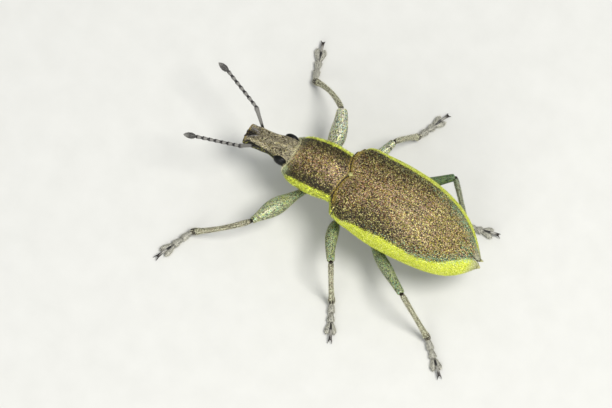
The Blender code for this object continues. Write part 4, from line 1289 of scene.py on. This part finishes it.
for number, (word, joints) in enumerate(ANTENNAE.items()):
    base, elbow, club, tip = (np.array(joint) for joint in joints)
    seed = 200 + 10 * number
    radii = np.interp(np.linspace(0, 1, 70), *zip(*SCAPE_SHAPE))
    stalk, spots = feeler_piece("stalk_", "scape_", word, base, elbow, radii, seed)
    dark = np.maximum(ramp(far(spots, elbow), 0.12, 0.05), ramp(far(spots, base), 0.30, 0.12))
    tint(stalk.data, mixed(FEELER_GREY, FEELER_BLACK, dark))
    bead = (np.linspace(0, 1, BEADS * 22) * BEADS) % 1.0
    bead[-1] = 1.0
    radii = np.interp(bead, *zip(*BEAD_SHAPE))
    lash, spots = feeler_piece("lash_", "funicle_", word, elbow, club, radii, seed + 2)
    share = (spots - elbow) @ (club - elbow) / ((club - elbow) @ (club - elbow))
    tint(lash.data, mixed(FEELER_GREY, FEELER_BLACK, ramp(off_waist(share), 0.26, 0.18)))
    t = np.linspace(0, 1, 80)
    grooves = sum(hill(t - at, CLUB_RING[1]) for at in CLUB_RINGS)
    radii = np.interp(t, *zip(*FEELER_CLUB)) - CLUB_RING[0] * grooves
    mace, spots = feeler_piece("club_tip_", "club_", word, club, tip, radii, seed + 4)
    lit = ramp((spots - tip) @ (tip - club), -0.13, -0.02)
    tint(mace.data, mixed(np.array(FEELER_GREY) * 0.3, FEELER_GREY, lit))


# Jaws. Two short, blunt mandibles under the snout's tip. Bare, dark chitin.

MANDIBLE = (0.12, -4.42, 2.03)
MANDIBLE_SIZE = (0.14, 0.19, 0.12)

for side, word in SIDES:
    x, y, z = MANDIBLE
    jaw = place_piece("jaw_" + word, skin(ball_rings((side * x, y, z), MANDIBLE_SIZE)), claw_black, "eye")
    tint(jaw.data, (0.02, 0.012, 0.008))


# Floor, light and camera. A pale, matt sheet, soft light from above as under an open sky, and a long
# lens that looks down on the beetle's left side.

CENTRE_PIXEL_POINT = (0.0, 0.0, 3.457)
RIGHT = Vector((-0.4394, 0.8746, 0.2049))
UP = Vector((-0.7927, -0.4848, 0.3696))
TOWARDS_CAMERA = Vector((0.4226, 0.0, 0.9063))
OFF_CENTRE = (-1.831, -1.235)
CAMERA_DISTANCE = 0.4
FIELD_WIDTH = 0.025185
SENSOR = 36.0

bpy.ops.mesh.primitive_grid_add(x_subdivisions=4, y_subdivisions=4, size=1.0)
floor = bpy.context.object
floor.name = "floor"
paper = bpy.data.materials.new("floor_paper")
paper.use_nodes = True
nodes, link = paper.node_tree.nodes, paper.node_tree.links.new
shader = nodes["Principled BSDF"]
shader.inputs["Roughness"].default_value = 0.85
place_node = nodes.new("ShaderNodeTexCoord")
grain = nodes.new("ShaderNodeTexNoise")
grain.inputs["Scale"].default_value = 900
grain.inputs["Detail"].default_value = 4
blend = nodes.new("ShaderNodeMix")
blend.data_type = "RGBA"
blend.inputs["A"].default_value = (0.62, 0.62, 0.59, 1)
blend.inputs["B"].default_value = (0.69, 0.69, 0.66, 1)
link(place_node.outputs["Object"], grain.inputs["Vector"])
link(grain.outputs["Fac"], blend.inputs["Factor"])
link(blend.outputs["Result"], shader.inputs["Base Color"])
floor.data.materials.append(paper)

world = bpy.data.worlds.new("sky")
bpy.context.scene.world = world
world.use_nodes = True
sky = world.node_tree.nodes["Background"]
sky.inputs["Color"].default_value = (0.93, 0.96, 1.0, 1)
sky.inputs["Strength"].default_value = 0.50
bpy.context.scene.view_settings.view_transform = "Standard"


def soft_light(name, place, size, power, colour):
    """A round lamp that looks at the middle of the body."""
    data = bpy.data.lights.new(name, "AREA")
    data.shape = "DISK"
    data.size = size
    data.energy = power
    data.color = colour
    light = bpy.data.objects.new(name, data)
    bpy.context.scene.collection.objects.link(light)
    light.location = place
    light.rotation_euler = (Vector((0, 0, 0.002)) - Vector(place)).to_track_quat("-Z", "Y").to_euler()


soft_light("key", (0.00, 0.04, 0.13), 0.07, 0.155, (1.0, 0.98, 0.94))
soft_light("fill", (0.13, 0.0, 0.06), 0.10, 0.085, (1.0, 0.99, 0.97))

camera_data = bpy.data.cameras.new("camera")
camera = bpy.data.objects.new("camera", camera_data)
bpy.context.scene.collection.objects.link(camera)
aim = Vector(CENTRE_PIXEL_POINT) + OFF_CENTRE[0] * RIGHT + OFF_CENTRE[1] * UP
back = TOWARDS_CAMERA.normalized()
up = (UP - back * UP.dot(back)).normalized()
turn = Matrix((up.cross(back), up, back)).transposed().to_4x4()
camera.matrix_world = Matrix.Translation(aim * MM + shift + back * CAMERA_DISTANCE) @ turn
camera_data.sensor_width = SENSOR
camera_data.lens = SENSOR * CAMERA_DISTANCE / FIELD_WIDTH
camera_data.clip_start = 0.01
camera_data.clip_end = 5.0
bpy.context.scene.camera = camera
